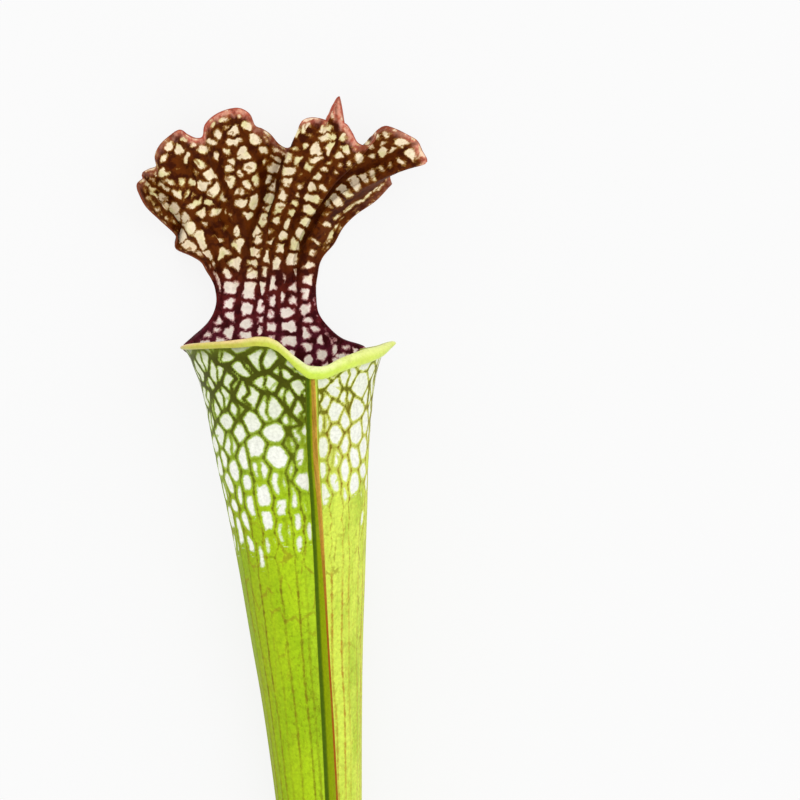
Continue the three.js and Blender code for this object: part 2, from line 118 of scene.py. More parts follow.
LIP_DEPTH_SHARE = 0.95
LIP_TIP = 0.3  # how far its ends run out to a point
LIP_UNEVEN = 0.05
RIM_SETTLES = 26.0  # rows of the tube follow the rim down to this depth, less and less
FLARE = 1.3  # and the rim's spread dies away over this length

# Column and hood: a sheet that rises from inside the back wall. Its side edges, from foot to tip.
LEFT_EDGE = [
    [-19.3, -3], [-20.8, -0.3], [-17.8, 3], [-15.8, 5.4], [-14.8, 8.4], [-15, 11.4], [-15.8, 13.4],
    [-17.2, 15.8], [-20.6, 17.9], [-23, 19.6], [-22.8, 22], [-25.8, 25], [-28.6, 27.8], [-30.2, 31],
]
RIGHT_EDGE = [
    [15.1, -3], [15.6, -0.5], [11.2, 1.4], [8.2, 4], [6.2, 6.6], [5.5, 9.8], [5.4, 12.4], [5.8, 15],
    [7, 17.8], [9, 20.6], [10.8, 23.8], [13.4, 26.4], [17.4, 29.2], [20.6, 32.6],
]
LEFT_ANGLE = [-89, -89, -63, -52, -47.3, -48.3, -52, -59, -59, -59, -59, -59, -59, -59]
RIGHT_ANGLE = [54.5, 55.5, 36.5, 26, 20, 18.6, 18.6, 19.8, 19.8, 19.8, 19.8, 19.8, 19.8, 19.8]
ARCH = [0, 0.6, 1.2, 1.9, 2.3, 2.4, 3.3, 4, 4.6, 5.6, 6.1, 6.5, 6.9, 7.2]
Z_LEFT = [7.4, 7.4, 7.4, 7.4, 7.4, 7.4, 7.4, 7.6, 8, 8.8, 9.8, 11, 12, 13]
Z_MIDDLE = [0.9, 0.9, 0.9, 0.9, 0.9, 0.9, 0.9, 1.5, 2.4, 3.6, 5, 6.8, 8.8, 11]
Z_RIGHT = [1, 1, 1, 1, 1, 1, 1, 1.5, 2.2, 2.9, 3.6, 4.4, 5.4, 6.5]
CURL_LEFT = [0, 0, 0, 0, 0, 0, 0, -0.6, -3.2, -8.3, -6, -2, 0, 0]
CURL_RIGHT = [0, 0, 0, 0, 0, 0, 0, -0.2, -0.3, -0.5, -0.8, -0.8, -0.6, 0]
CURL_REACH = 0.13
LEVELS = len(LEFT_EDGE) - 1
LEAVES_TUBE = (6 / LEVELS, 9 / LEVELS)
SHEET_LOW = 0.42  # least height of the sheet's middle and of its back above the table
BACK_LOW = 0.04
# Frilled margin from the left tip over the top to the right tip: x, y and the ruffle out of the sheet
MARGIN = [
    [-30.2, 31, 0], [-30.4, 32.4, -2], [-29.4, 33.6, -5], [-29.6, 34.6, -6], [-28.2, 35.4, -5],
    [-26.6, 36, -3], [-26.8, 38, -1], [-25.8, 40, 1], [-23.8, 41.8, 2], [-21.8, 43, 2], [-20.2, 42, 3.5],
    [-18.4, 41.2, 5], [-17, 41.6, 5.5], [-16.6, 44, 3.5], [-14.8, 46, 1], [-12.2, 47.2, 0],
    [-9.8, 47.4, 0], [-7.8, 46.2, 0], [-6.8, 44, -1], [-5.4, 43.4, -2], [-3.8, 42.4, -4.5],
    [-2.2, 40.6, -7], [-0.6, 39.8, -9], [0.8, 40.4, -7.5], [2.2, 42, -4], [2.6, 44.8, -1], [4.2, 45.6, 0],
    [6.2, 45.4, 1], [8.2, 44.8, 1.5], [11.2, 44.4, 2], [12.6, 42.6, 3], [13.8, 40.4, 5], [15.8, 39.8, 6],
    [17.2, 41, 5], [17.8, 42.8, 3], [19.4, 43.9, 1], [21.6, 43.3, 0], [23.8, 42.2, 0], [25.7, 41, 1],
    [26.7, 39, 2], [27.6, 36.6, 3], [24.2, 35.8, 0], [21, 35.2, -3], [20.2, 34.2, -4.6], [20.6, 32.6, -6],
]
MARGIN_STEPS = 24
FRILL_POWER = 2.4  # the sheet is drawn out to it by this power of the height
TIP_POWER = 7.0  # and later towards the right tip
TIP_FROM = (0.7, 0.86)
TIP_END_POWER = 15.0  # latest beyond the tip, so that the notch under it stays open
TIP_END_FROM = (0.85, 0.9)
TIP_END_RISE = 3.0
RUFFLE_POWER = 1.7
RUFFLE_FROM = (0.12, 0.4)
POINT_AT = 10.1  # the point at the top of the hood
POINT_LEFT = 2.4
POINT_RIGHT = 1.0
POINT_HEIGHT = 5.2
POINT_LOWEST = 43.0
POINT_SHAPE = 1.3
POINT_FROM = 0.86
POINT_BASE = (43.5, 46)  # heights and places x between which its own colour sets in
POINT_SIDE = (6.5, 8)
FOOT_BELOW = 0.1  # the sheet runs on down the inside of the tube by this share of its height
FOOT_DROP = 62.0  # millimetres of drop for a whole share
SHEET_HALF = 0.36  # half the sheet's thickness, and at its margin
SHEET_HALF_MARGIN = 0.2
SHEET_THINS = (0, 6)  # distances from the margin between which it gets thinner
FLUSH_FRONT = 0.55  # half thicknesses that bring its faces level with the wall at the rim
FLUSH_BACK = 0.49
HIDDEN_BACK = 0.3  # below the rim this one hides its back inside the wall
HIDDEN_ENDS = (-1, -0.2)
FLUSH_ENDS = (0, 7)  # heights above the rim between which it reaches its own thickness
VEIN_RELIEF = 0.07  # veins stand this far out of either face, but for the hood's outermost strip and foot
RELIEF_FROM_EDGE = (0.1, 0.8)
RELIEF_FROM_V = 0.02

# Main veins of the hood from inside the tube up: half width, and places x, y along each
LEFT_OUTER = [0.3, [-16.8, 16.6], [-18.2, 20], [-20.6, 23], [-23.6, 25.8], [-26.2, 27.8], [-29.4, 31.4]]
LEFT_LOW = [
    0.5, [-19.6, -8], [-18.6, 2.4], [-15.4, 5.6], [-13.8, 9], [-13.6, 12.4], [-15.2, 19], [-18.6, 25],
    [-22.8, 29.4], [-27.8, 32.8],
]
LEFT_FORK = [0.42, [-11, 27], [-13.4, 28.4], [-18.6, 31], [-23.8, 32], [-26.6, 33.4]]
LEFT_MAIN = [
    0.82, [-12.6, -8], [-11.2, 1.8], [-10.4, 9.4], [-9.2, 18], [-8.8, 21.8], [-10.2, 25.6], [-13.4, 32.2],
    [-14.6, 35.2], [-16.8, 37.2], [-21.8, 40.6],
]
LEFT_CROWN = [0.72, [-8.6, 22.6], [-6.2, 28], [-6, 32], [-6, 36], [-8.4, 41], [-10.6, 45.4]]
MIDDLE_LEFT = [
    0.45, [-8, -8], [-7.4, 1.8], [-7, 9.4], [-5.8, 16.6], [-5, 22], [-3.2, 27.6], [-2, 33], [-0.8, 38.4],
    [0.2, 39.8],
]
MIDDLE = [
    0.48, [-5.6, -8], [-5.2, 1.8], [-4.8, 9.4], [-3.8, 16.6], [-2.4, 22.4], [0.4, 30.6], [2.4, 36],
    [5.8, 43.4],
]
CROWN = [
    0.68, [-2.4, -8], [-2.4, 1.8], [-2.4, 9.4], [-1.6, 15.4], [0.4, 22.6], [2.6, 28], [2.8, 31], [5.4, 35.4],
    [9.4, 38.8], [9.8, 43],
]
RIGHT_MAIN = [
    0.82, [2.4, -8], [2, 1.8], [1.8, 9.4], [2.8, 19], [4.8, 24.2], [7, 29.2], [10.4, 33.6], [15.8, 35.8],
    [19.2, 37], [24.2, 39.8],
]
RIGHT_FORK = [0.58, [4.8, 24.2], [10.2, 27.8], [14.6, 31], [19.4, 34.2], [24, 36]]
RIGHT_OUTER = [
    0.34, [9.4, -8], [7.4, 1.8], [4.6, 6.4], [4.4, 10.6], [6, 18.6], [8.8, 24.6], [13.6, 28.2], [19, 31.8],
]
# Those that come up through the neck, from left to right, and those that split the gaps between them
PAST_NECK = (LEFT_LOW, LEFT_MAIN, MIDDLE_LEFT, MIDDLE, CROWN, RIGHT_MAIN, RIGHT_OUTER)
FORKS = {0: LEFT_OUTER, 1: LEFT_FORK, 2: LEFT_CROWN, 6: RIGHT_FORK}
TRACE_STEPS = 400  # a vein's curve is worked out at this many places, and goes on as its last few do
TRACE_LAST = 20
PATH_STEP = 0.5
MATCHED_SHARE = 0.9  # matched paths have this share of the points of the longer one
PAST_MARGIN = 8.0  # veins are carried on this far past the margin, so that their gaps reach it
NECK_Y = 10.0  # the paths of neighbouring veins are matched from this height up and down
NECK_TOP = 14.0  # and no vein passes this height twice
NECK_HALF = 0.52  # half width of every main vein there
NECK_OWN = 0.35  # but for this share of its own
NECK_ENDS = (12, 24)  # above it the veins reach their own width between these heights
NECK_REACH = 9.0  # the neck's windows change into the hood's over this height
VEIN_UNEVEN = 0.24
VEIN_THINS = 8.0  # over this length at its end, a vein gets narrower, to this share
VEIN_THINS_TO = 0.6
VEIN_NEAR = 1.6  # points further than this from a vein aren't told their distance
EDGE_VEIN_U = 0.985  # a fine vein runs along each side edge
EDGE_VEIN_HALF = 0.2
GAP_SAMPLES = (0.06, 0.94, 7)  # a gap is told from others by points across it: first and last share, count
GAP_PARTS = 60  # the points to be told are taken in this many parts, to save memory
CELL_WIDE = (2.5, 1.65)  # clear width for each window of a row between two main veins, and at the neck
CELL_TALL = (1.4, 3.0)  # distance from row to row, and how much more at the neck
CELL_TALL_NECK = 1.3
FOLDED_GAPS = (0, 1, 2, 14, 15)  # in these gaps, beside the hood's edges, the windows are narrow and long
FOLDED_WIDE = 0.56
FOLDED_TALL = 1.35
CELL_SHAKE = 0.46  # their middles are off their even places by this much
CELL_HALF = (0.12, 0.44)  # half width of the vein between two windows, and how much more at the neck
CELL_HALF_NECK = 0.12
DARK_CELLS = (0.05, 0.5)  # share of the windows that are nearly lost, by broader veins beside them
WARP = 0.3  # all the veins wander by this much
WARP_LENGTH = 3.8
SPUR_SHARE = 0.4  # share of the windows with a fine vein that ends inside
SPUR_LENGTH = (0.6, 1.5)
SPUR_HALF = (0.02, 0.28)
SPUR_SHAKE = 0.3
DARK_PATCHES = [  # x, y and radius
    [-23.2, 36.6, 1.5], [-20.8, 34.6, 1.2], [-15.8, 23.4, 1.1], [-15.2, 20.6, 1],
]
FOOT_EXTRA = 0.12  # veins are this much broader, each side, at the foot of the column
FOOT_TOP = (0.5, 6.5)
MARGIN_VEIN = (0.85, 0.16)  # a fine vein runs round inside the margin: distance from it, and half width
MARGIN_VEIN_WINDS = 0.3
MARGIN_VEIN_FROM = 0.5  # it starts at this v
MARGIN_COLOUR_FROM = 0.45  # and the margin's own colour at this one: below, the edge is told that it lies
SIDE_EDGE = 0.4  # this far from the margin at least
POINT_MARGIN = 0.7  # the hood's point is told that it lies nearer, by this share
CELL_ROUNDING = 0.28  # how far the corners of the windows are rounded off
VEIN_ROUNDING = 0.2  # and where a main vein is one of the sides
FAR = 9.0  # what a point is told that has no vein near it
NO_VEIN = 1e-20
RELIEF_EDGE = (-0.3, 0.15)  # the relief rises between these distances from a vein
SALMON = [  # how salmon the margin is, by x
    [-31, 0.3], [-24, 0.35], [-21, 0.9], [-9, 0.9], [-6, 0.3], [0, 0.3], [3, 0.8], [7, 0.6], [9, 1], [13, 1],
    [15, 0.3], [22, 0.5], [26, 1], [28, 1],
]
SALMON_STARTS = (26, 34)  # heights between which it sets in

# Net of the tube
NET_DEPTH = 50.0  # the net is worked out from this height over the lip to this depth, and a little past it
NET_TOP = -7.0
NET_SPARE = 4.0
RIM_SHARE = 0.3  # rows of the net follow the rim's rise and fall by this share
NEAR_DEG = 26.0  # points within this angle of a vein are told their distance from it
ROW_STEP = 2.45  # distance between rows of nodes, which is half a window's height
ROW_SHAKE = 0.46
SWING = [  # swing of the veins by depth, as a share of their pitch
    [0, 0.34], [9, 0.32], [18, 0.24], [28, 0.14], [42, 0.05],
]
SWING_RIGHT = 0.9  # times as much on the right of the wing
SWING_UNEVEN = (0.7, 1.2)
NODE_SHAKE = 0.085
NET_HALF = ((0.49, 0.27), (0.25, 0.2))  # half width of its veins near the mouth and low down: left, right
NET_HALF_LOWEST = 0.6  # times as much at the net's lower end
NET_HALF_ENDS = (22, 44)  # depths of the end of the first change and of the second
RIGHT_STARTS = (-2, 6)  # angles between which the right side's net takes over, and gives way again
RIGHT_ENDS = (95, 130)
NET_ROUNDING = 0.23
FINE_ROUNDING = 0.1
RUNGS_END = (22, 34)  # depths over which the rungs sink into the surface
RELIEF_STARTS = (0.5, 3)
RELIEF_ENDS = (30, 46)
WHITE_TO = (42.0, 32.0)  # the white windows end about here on the left of the wing, and on its right
WHITE_SPREAD = 3.4
WHITE_LOST = (0.35, 0.55)  # share of the lowest ones that are missing, from this far above to this far below
WHITE_THINS = (12, 3)
SPLIT_SHARE = (0.85, 0.2)  # share of the windows that a smaller vein divides: near the mouth, and low down
SPLIT_ENDS = (6, 20)
SPLIT_RIGHT = 0.5  # times as many on the right of the wing
SPLIT_HALF = (0.2, 0.42)
SPLIT_THINS = (10, 25)  # between these depths it gets narrower, to this share
SPLIT_THINS_TO = 0.7
SPLIT_PLACE = (0.36, 0.64)  # its share of the way from one vein to the next, and how much it strays
SPLIT_STRAYS = 0.07
SPLIT_ROWS = (-0.05, 2.05)  # rows between which it runs, on from the rung
STRAND_UNEVEN = (0.75, 1.3)  # half widths vary by these factors: of the lengthwise veins and of the rungs
RUNG_UNEVEN = (0.7, 1.15)
FINE_SHARE = 0.22  # share of the windows that a fine vein runs into from one side
FINE_HALF = (0.34, 0.24, 0.12, 0.02)  # its half width on its way
FINE_ROWS = (0.3, 1.7)  # rows between which it starts and ends, and how far across the window
FINE_ACROSS = (0.04, 0.5)

# How finely the surfaces are divided
RIM_ROWS = (0, 0.15)  # depths of the first rows, and of the next one outside and inside
NEXT_OUTSIDE = 0.5
NEXT_INSIDE = 0.6
STALK_LAST = 0.4  # the last row but one lies this far above the cut end
STALK_CROWD = 1.15  # rows crowd towards the net by these powers, outside and inside
HOLLOW_CROWD = 1.1
NET_ROWS = 122
STALK_ROWS = 86
HOLLOW_ROWS = (60, 16)  # down the net, and below it
TUBE_COLUMNS = 300
WING_SIDE_COLUMNS = 9
WING_CROWD = 1.3  # and these columns towards the tube
WING_CAP_COLUMNS = 5
LIP_COLUMNS = 320
LIP_SIDES = 28
HOOD_COLUMNS = 242
HOOD_ROWS = 176
ROWS_CROWD = 0.35  # they crowd towards the margin by this share
EDGE_ROWS = (0, 0.0006, 0.0022, 0.0048, 0.009)  # the rows and columns nearest to an edge
POINT_COLUMNS = 31
POINT_SPREAD = 0.05  # these lie within this much of u of the hood's point
CLEAR_POINT = 0.002  # even columns and rows keep clear of these and of those nearest to an edge
CLEAR_U = 0.985
CLEAR_V = (0.02, 0.986)

# Table, camera and light
FLOOR_HALF = 3.0  # metres
FLOOR_GREYS = (0.108, 0.112)
FLOOR_GLOW = 0.84
SKIN_DEPTH = 0.06  # of the skin's grain, in the bump
PICTURE_WIDTH = 800
PIXEL = 0.2  # millimetres on the leaf for each pixel of that width
FOCUS_HEIGHT = 12.0  # height above the table at which that holds
VIEW_MIDDLE = (22.2, -11.0)
FOCAL_LENGTH = 300.0
SENSOR = 36.0
DOME_STRENGTH = 1.06
LAMP_AT = (0.5, 0.15, 1.1)  # metres
LAMP_SIZE = 0.7
LAMP_ENERGY = 1.6

DEG = math.pi / 180


def along(table, t):
    """Smooth curve through a table's [position, value] pairs that never overshoots: cubic pieces, with the
    slope at each knot the harmonic mean of the slopes beside it, and level beyond both ends."""
    x, y = np.array(table, float).T
    t = np.clip(t, x[0], x[-1])
    run = np.diff(x)
    slope = np.diff(y) / run
    before, after = slope[:-1], slope[1:]
    same = before * after > 0
    inner = np.where(same, 2 * before * after / np.where(same, before + after, 1), 0)
    knot = np.concatenate([slope[:1], inner, slope[-1:]])
    i = np.clip(np.searchsorted(x, t) - 1, 0, len(x) - 2)
    s = (t - x[i]) / run[i]
    bend = run[i] * s * (1 - s) * ((1 - s) * knot[i] - s * knot[i + 1])
    return y[i] + (y[i + 1] - y[i]) * s * s * (3 - 2 * s) + bend


def level(values, v):
    """Cubic curve through evenly spaced values, at a share v of their length."""
    values = np.array(values, float)
    at = np.clip(v, 0, 1) * (len(values) - 1)
    i = np.minimum(len(values) - 2, np.floor(at).astype(int))
    t = at - i
    a, b, c, d = (values[np.clip(i + k, 0, len(values) - 1)] for k in (-1, 0, 1, 2))
    return b + 0.5 * t * (c - a + t * (2 * a - 5 * b + 4 * c - d + t * (3 * (b - c) + d - a)))


def smooth(low, high, t):
    """Rises smoothly from 0 at low to 1 at high."""
    s = np.clip((t - low) / (high - low), 0, 1)
    return s * s * (3 - 2 * s)


def mix(a, b, t):
    """Goes evenly from a at t = 0 to b at t = 1."""
    return a + (b - a) * t


def lengths(curve):
    """Distance along a curve, at each of its points."""
    return np.concatenate([[0], np.cumsum(np.linalg.norm(np.diff(curve, axis=0), axis=1))])


def wander(t, seed, waves=5, longest=1.0):
    """A smooth random curve of t, between about -1 and 1: a sum of sines whose lengths, directions and
    phases are drawn from the seed. t has one row for each point and one column for each coordinate."""
    rng = np.random.default_rng(seed)
    t = np.atleast_2d(np.asarray(t, float).T).T
    total = np.zeros(t.shape[0])
    for k in range(waves):
        direction = rng.normal(size=t.shape[1])
        direction *= 2 * math.pi * (1 + 0.6 * k) / (longest * np.linalg.norm(direction))
        total += np.sin(t @ direction + rng.uniform(0, 2 * math.pi)) / (1 + 0.5 * k)
    return total / 2


def middle(y):
    """Middle of the tube's section at height y: x, z and the radius."""
    radius = along(TUBE_RADIUS, -y)
    return along(TUBE_MIDDLE_X, -y), radius * (1 - BACK_FLAT), radius


def wrap(deg):
    """The same angle, between -180 and 180."""
    return deg - 360 * np.round(deg / 360)


def outer_radius(y, deg):
    """Radius of the tube at height y and an angle from the seam: the table's, plus the rim's spread times
    exp(-distance below the rim / FLARE)."""
    rim_y = along(RIM_HEIGHT, wrap(deg))
    spread = along(RIM_RADIUS, wrap(deg)) - along(TUBE_RADIUS, -rim_y)
    return along(TUBE_RADIUS, -y) + spread * np.exp(-np.abs(y - rim_y) / FLARE)


def row_y(s, deg):
    """Height of a row of the tube: the rim's own line at the top, level sections further down."""
    fade = np.maximum(0, 1 - s / RIM_SETTLES)
    return -s + along(RIM_HEIGHT, wrap(deg)) * fade ** 2


def polar(radius, deg, y, sideways=0.0):
    """A point at a radius, an angle from the seam and a height, moved sideways along the section."""
    x, z, _ = middle(y)
    a = (deg + TURN_DEG) * DEG
    px = x + radius * np.sin(a) + sideways * np.cos(a)
    pz = np.maximum(0, z + radius * np.cos(a) - sideways * np.sin(a))
    return np.stack([px, y + 0 * px, pz], axis=-1)


def add_object(name, data):
    made = bpy.data.objects.new(name, data)
    bpy.context.scene.collection.objects.link(made)
    return made


def make_mesh(name, points, faces, attributes):
    """A smooth-shaded mesh object from points in millimetres, quads or triangles, and one value a point for
    each attribute."""
    mesh = bpy.data.meshes.new(name)
    mesh.from_pydata((points * MM).tolist(), [], faces.tolist() if hasattr(faces, "tolist") else faces)
    mesh.polygons.foreach_set("use_smooth", np.ones(len(mesh.polygons), bool))
    for key, values in attributes.items():
        layer = mesh.attributes.new(key, "FLOAT", "POINT")
        layer.data.foreach_set("value", np.asarray(values, np.float32).ravel())
    mesh.validate()
    mesh.update()
    return add_object(name, mesh)


def ring_faces(rows, columns):
    """Quads between closed rings of points, numbered ring by ring."""
    i, j = np.meshgrid(np.arange(rows - 1), np.arange(columns), indexing="ij")
    a = i * columns + j
    b = i * columns + (j + 1) % columns
    return np.stack([a, b, b + columns, a + columns], axis=-1).reshape(-1, 4)


def closed_rings(name, rings, first, last, attributes, flip=False):
    """A closed mesh from rings of points and a point that closes each end."""
    rows, columns, _ = rings.shape
    points = np.concatenate([rings.reshape(-1, 3), first[None], last[None]])
    faces = ring_faces(rows, columns).tolist()
    start = rows * columns
    end_ring = (rows - 1) * columns
    for j in range(columns):
        after = (j + 1) % columns
        faces.append([start, after, j])
        faces.append([start + 1, end_ring + j, end_ring + after])
    if flip:
        faces = [face[::-1] for face in faces]
    values = {}
    for key, grid in attributes.items():
        values[key] = np.concatenate([grid.ravel(), [grid[0].mean(), grid[-1].mean()]])
    return make_mesh(name, points, faces, values)


def from_path(points, path, half):
    """Distance of points from the nearest piece of a path, less the half width there."""
    nearest = np.full(len(points), 99.0)
    for a, b, first, last in zip(path, path[1:], half, half[1:]):
        run = b - a
        t = np.clip(((points - a) @ run) / max(1e-9, run @ run), 0, 1)
        away = np.linalg.norm(points - a - t[:, None] * run, axis=1)
        nearest = np.minimum(nearest, away - mix(first, last, t))
    return nearest


def near_vein(points, path, half, rounding):
    """How near points are to a vein, as exp(-distance / k). What several veins give is added up."""
    return np.exp(-from_path(points, path, half) / rounding)


def soft_distance(near, rounding):
    """Distance from veins that are joined softly: -k log(sum of exp(-distance / k)), and FAR at most."""
    return np.minimum(-rounding * np.log(near), FAR)


def vein_relief(net):
    """How far the surface stands out: all of the relief inside a vein, falling smoothly to none beside it."""
    return VEIN_RELIEF * (1 - smooth(*RELIEF_EDGE, net))


# Where the tube's veins and windows lie
def line_base(number):
    """Angle of a lengthwise vein's even place. Numbers go on past the last vein, a whole turn further."""
    return np.interp(number % VEIN_LINES, LINE_NUMBERS, LINE_DEGREES) + 360 * (number // VEIN_LINES)


def line_pitch(number):
    """Angle from a vein to the next: half of what lies between its two neighbours."""
    return (line_base(number + 1) - line_base(number - 1)) / 2


def line_deg(number, s):
    """Angle of a lengthwise vein, by its number and the distance below the lip: it has a small shift of its
    own, and wanders a little."""
    k = number % VEIN_LINES
    shift = np.random.default_rng(130 + k).normal(0, LINE_SHIFT)
    return line_base(number) + shift + LINE_WANDER * wander(s, 60 + k, longest=60)


def net_nodes():
    """Nodes of the net, where rungs meet the lengthwise veins: angle and distance below the lip, by number
    of vein and of row. Each vein swings to and fro out of step with its neighbours, so the windows near the
    mouth are diamonds. Further down the swing fades and they are oblongs."""
    rng = np.random.default_rng(11)
    rows = int((NET_DEPTH + NET_SPARE + 1 - NET_TOP) / ROW_STEP)
    s = NET_TOP + ROW_STEP * np.arange(rows)[None] + rng.normal(0, ROW_SHAKE, (VEIN_LINES, rows))
    number = np.arange(VEIN_LINES)[:, None]
    side = np.where((np.arange(rows)[None] - number) % 2 == 0, 1, -1)
    swing = along(SWING, s) * rng.uniform(*SWING_UNEVEN, s.shape)
    deg = np.stack([line_deg(k, s[k]) for k in range(VEIN_LINES)])
    swing = swing * np.where(number < LINE_NUMBERS[1], SWING_RIGHT, 1)
    deg += (side * swing + rng.normal(0, NODE_SHAKE, s.shape)) * line_pitch(number)
    s = np.sort(s, axis=1)
    fade = np.maximum(0, 1 - s / RIM_SETTLES)
    return deg, s + (1 - RIM_SHARE) * along(RIM_HEIGHT, wrap(deg)) * np.minimum(1, fade) ** 2


NODE_DEG, NODE_S = net_nodes()
NODE_ROWS = NODE_S.shape[1]


def node_line(number, s):
    """Angle of a swinging vein at a distance below the lip."""
    k = number % VEIN_LINES
    return np.interp(s, NODE_S[k], NODE_DEG[k]) + 360 * (number // VEIN_LINES)


def white_windows():
    """Whether each window is white, by number of gap between veins and of the row it starts at."""
    rng = np.random.default_rng(14)
    white = np.zeros((VEIN_LINES, NODE_ROWS + 2))
    for k in range(VEIN_LINES):
        on_right = k < LINE_NUMBERS[1]
        last = min(WHITE_TO[on_right] + rng.normal(0, WHITE_SPREAD), NET_DEPTH - 2 * NET_SPARE)
        middles = NODE_S[k] + ROW_STEP
        fewer = smooth(last - WHITE_THINS[0], last + WHITE_THINS[1], middles)
        lost = rng.uniform(size=NODE_ROWS) < fewer * WHITE_LOST[on_right]
        white[k, :NODE_ROWS] = (middles < last) & ~lost
    return white


def on_tube(s, deg):
    """Place on the outside by distance below the rim, negative above it, and angle from the seam."""
    y = row_y(np.maximum(s, 0), deg) - np.minimum(s, 0)
    return polar(outer_radius(y, deg), deg, y)


def net_half_width(s, deg):
    """Half width of the net's veins: broad near the mouth on the left of the wing, finer on its right."""
    deg = wrap(deg)
    right = smooth(*RIGHT_STARTS, deg) * (1 - smooth(*RIGHT_ENDS, deg))
    thins, ends = NET_HALF_ENDS
    on_left, on_right = (mix(*half, smooth(start, thins, s)) for half, start in zip(NET_HALF, (2, 0)))
    return mix(on_left, on_right, right) * mix(1, NET_HALF_LOWEST, smooth(thins, ends, s))


def net_fields(s, deg):
    """The net on the tube: distance from all its veins, from the lengthwise ones alone and from the fine
    ones, negative inside a vein, and how white the window is."""
    shape = s.shape
    s, deg = s.ravel(), np.mod(deg, 360).ravel()
    points = on_tube(s, deg)
    strands, rungs, fine = (np.full(len(s), NO_VEIN) for _ in range(3))
    white = np.zeros(len(s))
    is_white = white_windows()
    in_net = s < NET_DEPTH + NET_SPARE
    gap = sum((node_line(k, s) <= deg).astype(int) for k in range(-1, VEIN_LINES + 2)) - 2
    rng = np.random.default_rng(12)
    for k in range(VEIN_LINES):
        near = np.nonzero(in_net & (np.abs(wrap(deg - line_base(k))) < NEAR_DEG))[0]
        own = points[near]
        half = net_half_width(NODE_S[k], NODE_DEG[k]) * rng.uniform(*STRAND_UNEVEN, NODE_ROWS)
        strands[near] += near_vein(own, on_tube(NODE_S[k], NODE_DEG[k]), half, NET_ROUNDING)
        right = (k + 1) % VEIN_LINES
        past = 360 * (k + 1 == VEIN_LINES)
        often = SPLIT_RIGHT if k < LINE_NUMBERS[1] else 1
        starts = np.arange(k % 2, NODE_ROWS, 2)
        for i in starts:
            ends_s = np.array([NODE_S[k, i], NODE_S[right, i]])
            ends_deg = np.array([NODE_DEG[k, i], NODE_DEG[right, i] + past])
            half = net_half_width(ends_s, ends_deg) * rng.uniform(*RUNG_UNEVEN)
            rungs[near] += near_vein(own, on_tube(ends_s, ends_deg), half, NET_ROUNDING)
            if rng.uniform() < mix(*SPLIT_SHARE, smooth(*SPLIT_ENDS, ends_s[0])) * often:
                split_s = ends_s.mean() + np.linspace(*SPLIT_ROWS, 5) * ROW_STEP
                share = rng.uniform(*SPLIT_PLACE) + rng.normal(0, SPLIT_STRAYS, 5)
                split_deg = mix(node_line(k, split_s), node_line(k + 1, split_s), share)
                thinner = mix(1, SPLIT_THINS_TO, smooth(*SPLIT_THINS, ends_s[0]))
                half = np.full(5, rng.uniform(*SPLIT_HALF)) * thinner
                rungs[near] += near_vein(own, on_tube(split_s, split_deg), half, NET_ROUNDING)
            if rng.uniform() < FINE_SHARE:
                share = np.abs((rng.uniform() < 0.5) - np.linspace(*FINE_ACROSS, 4))
                fine_s = ends_s.mean() + mix(*rng.uniform(*FINE_ROWS, 2), np.linspace(0, 1, 4)) * ROW_STEP
                fine_deg = mix(node_line(k, fine_s), node_line(k + 1, fine_s), share)
                fine[near] += near_vein(own, on_tube(fine_s, fine_deg), FINE_HALF, FINE_ROUNDING)
        inside = np.nonzero(in_net & (np.mod(gap, VEIN_LINES) == k))[0]
        first, last = node_line(k, s[inside]), node_line(k + 1, s[inside])
        share = np.clip((deg[inside] - first) / (last - first) % (360 / (last - first)), 0, 1)[:, None]
        ends = mix(NODE_S[k, starts], NODE_S[right, starts], share)
        cell = np.clip((ends <= s[inside, None]).sum(1) - 1, 0, len(starts) - 1)
        white[inside] = is_white[k, starts[cell]]
    fields = [soft_distance(near, NET_ROUNDING) for near in (strands + rungs, strands)]
    return [field.reshape(shape) for field in (*fields, soft_distance(fine, FINE_ROUNDING), white)]


def line_field(s, deg):
    """Distance from the nearest lengthwise vein, and how strong that vein is there: each comes and goes
    along its length."""
    nearest = np.round(np.interp(deg, LINE_DEGREES, LINE_NUMBERS)).astype(int)
    number = np.mod(nearest, VEIN_LINES)
    shift = np.zeros(s.shape)
    strength = np.zeros(s.shape)
    rng = np.random.default_rng(13)
    for k in range(VEIN_LINES):
        own = number == k
        where = s[own]
        shift[own] = line_deg(k, where) - line_base(k)
        base = rng.uniform(*LINE_STRENGTH)
        strength[own] = np.clip(base + LINE_FADES * wander(where, 160 + k, longest=70), 0, 1)
    radius = along(TUBE_RADIUS, s)
    return np.abs(deg - line_base(nearest) - shift) * DEG * radius, strength


def wing_profile():
    """Columns of the wing from its left foot over its edge to its right foot: the sideways place, the share
    of the wing's height, and the height lost to the round of its edge."""
    share = np.linspace(0, 1, WING_SIDE_COLUMNS + 1)[1:] ** WING_CROWD
    out = WING_EDGE + (WING_FOOT - WING_EDGE) * (1 - share) ** WING_TAPER
    out += (WING_ROOT - WING_FOOT) * np.exp(-share / WING_FILLET * FILLET_FALL)
    turn = np.linspace(-90, 90, WING_CAP_COLUMNS + 2)[1:-1] * DEG
    side = np.concatenate([-out, WING_EDGE * np.sin(turn), out[::-1]])
    height = np.concatenate([share, np.ones(WING_CAP_COLUMNS), share[::-1]])
    at_edge = np.where(share > 0.999, WING_EDGE, 0)
    lost = np.concatenate([at_edge, WING_EDGE * (1 - np.cos(turn)), at_edge[::-1]])
    return side, height, lost


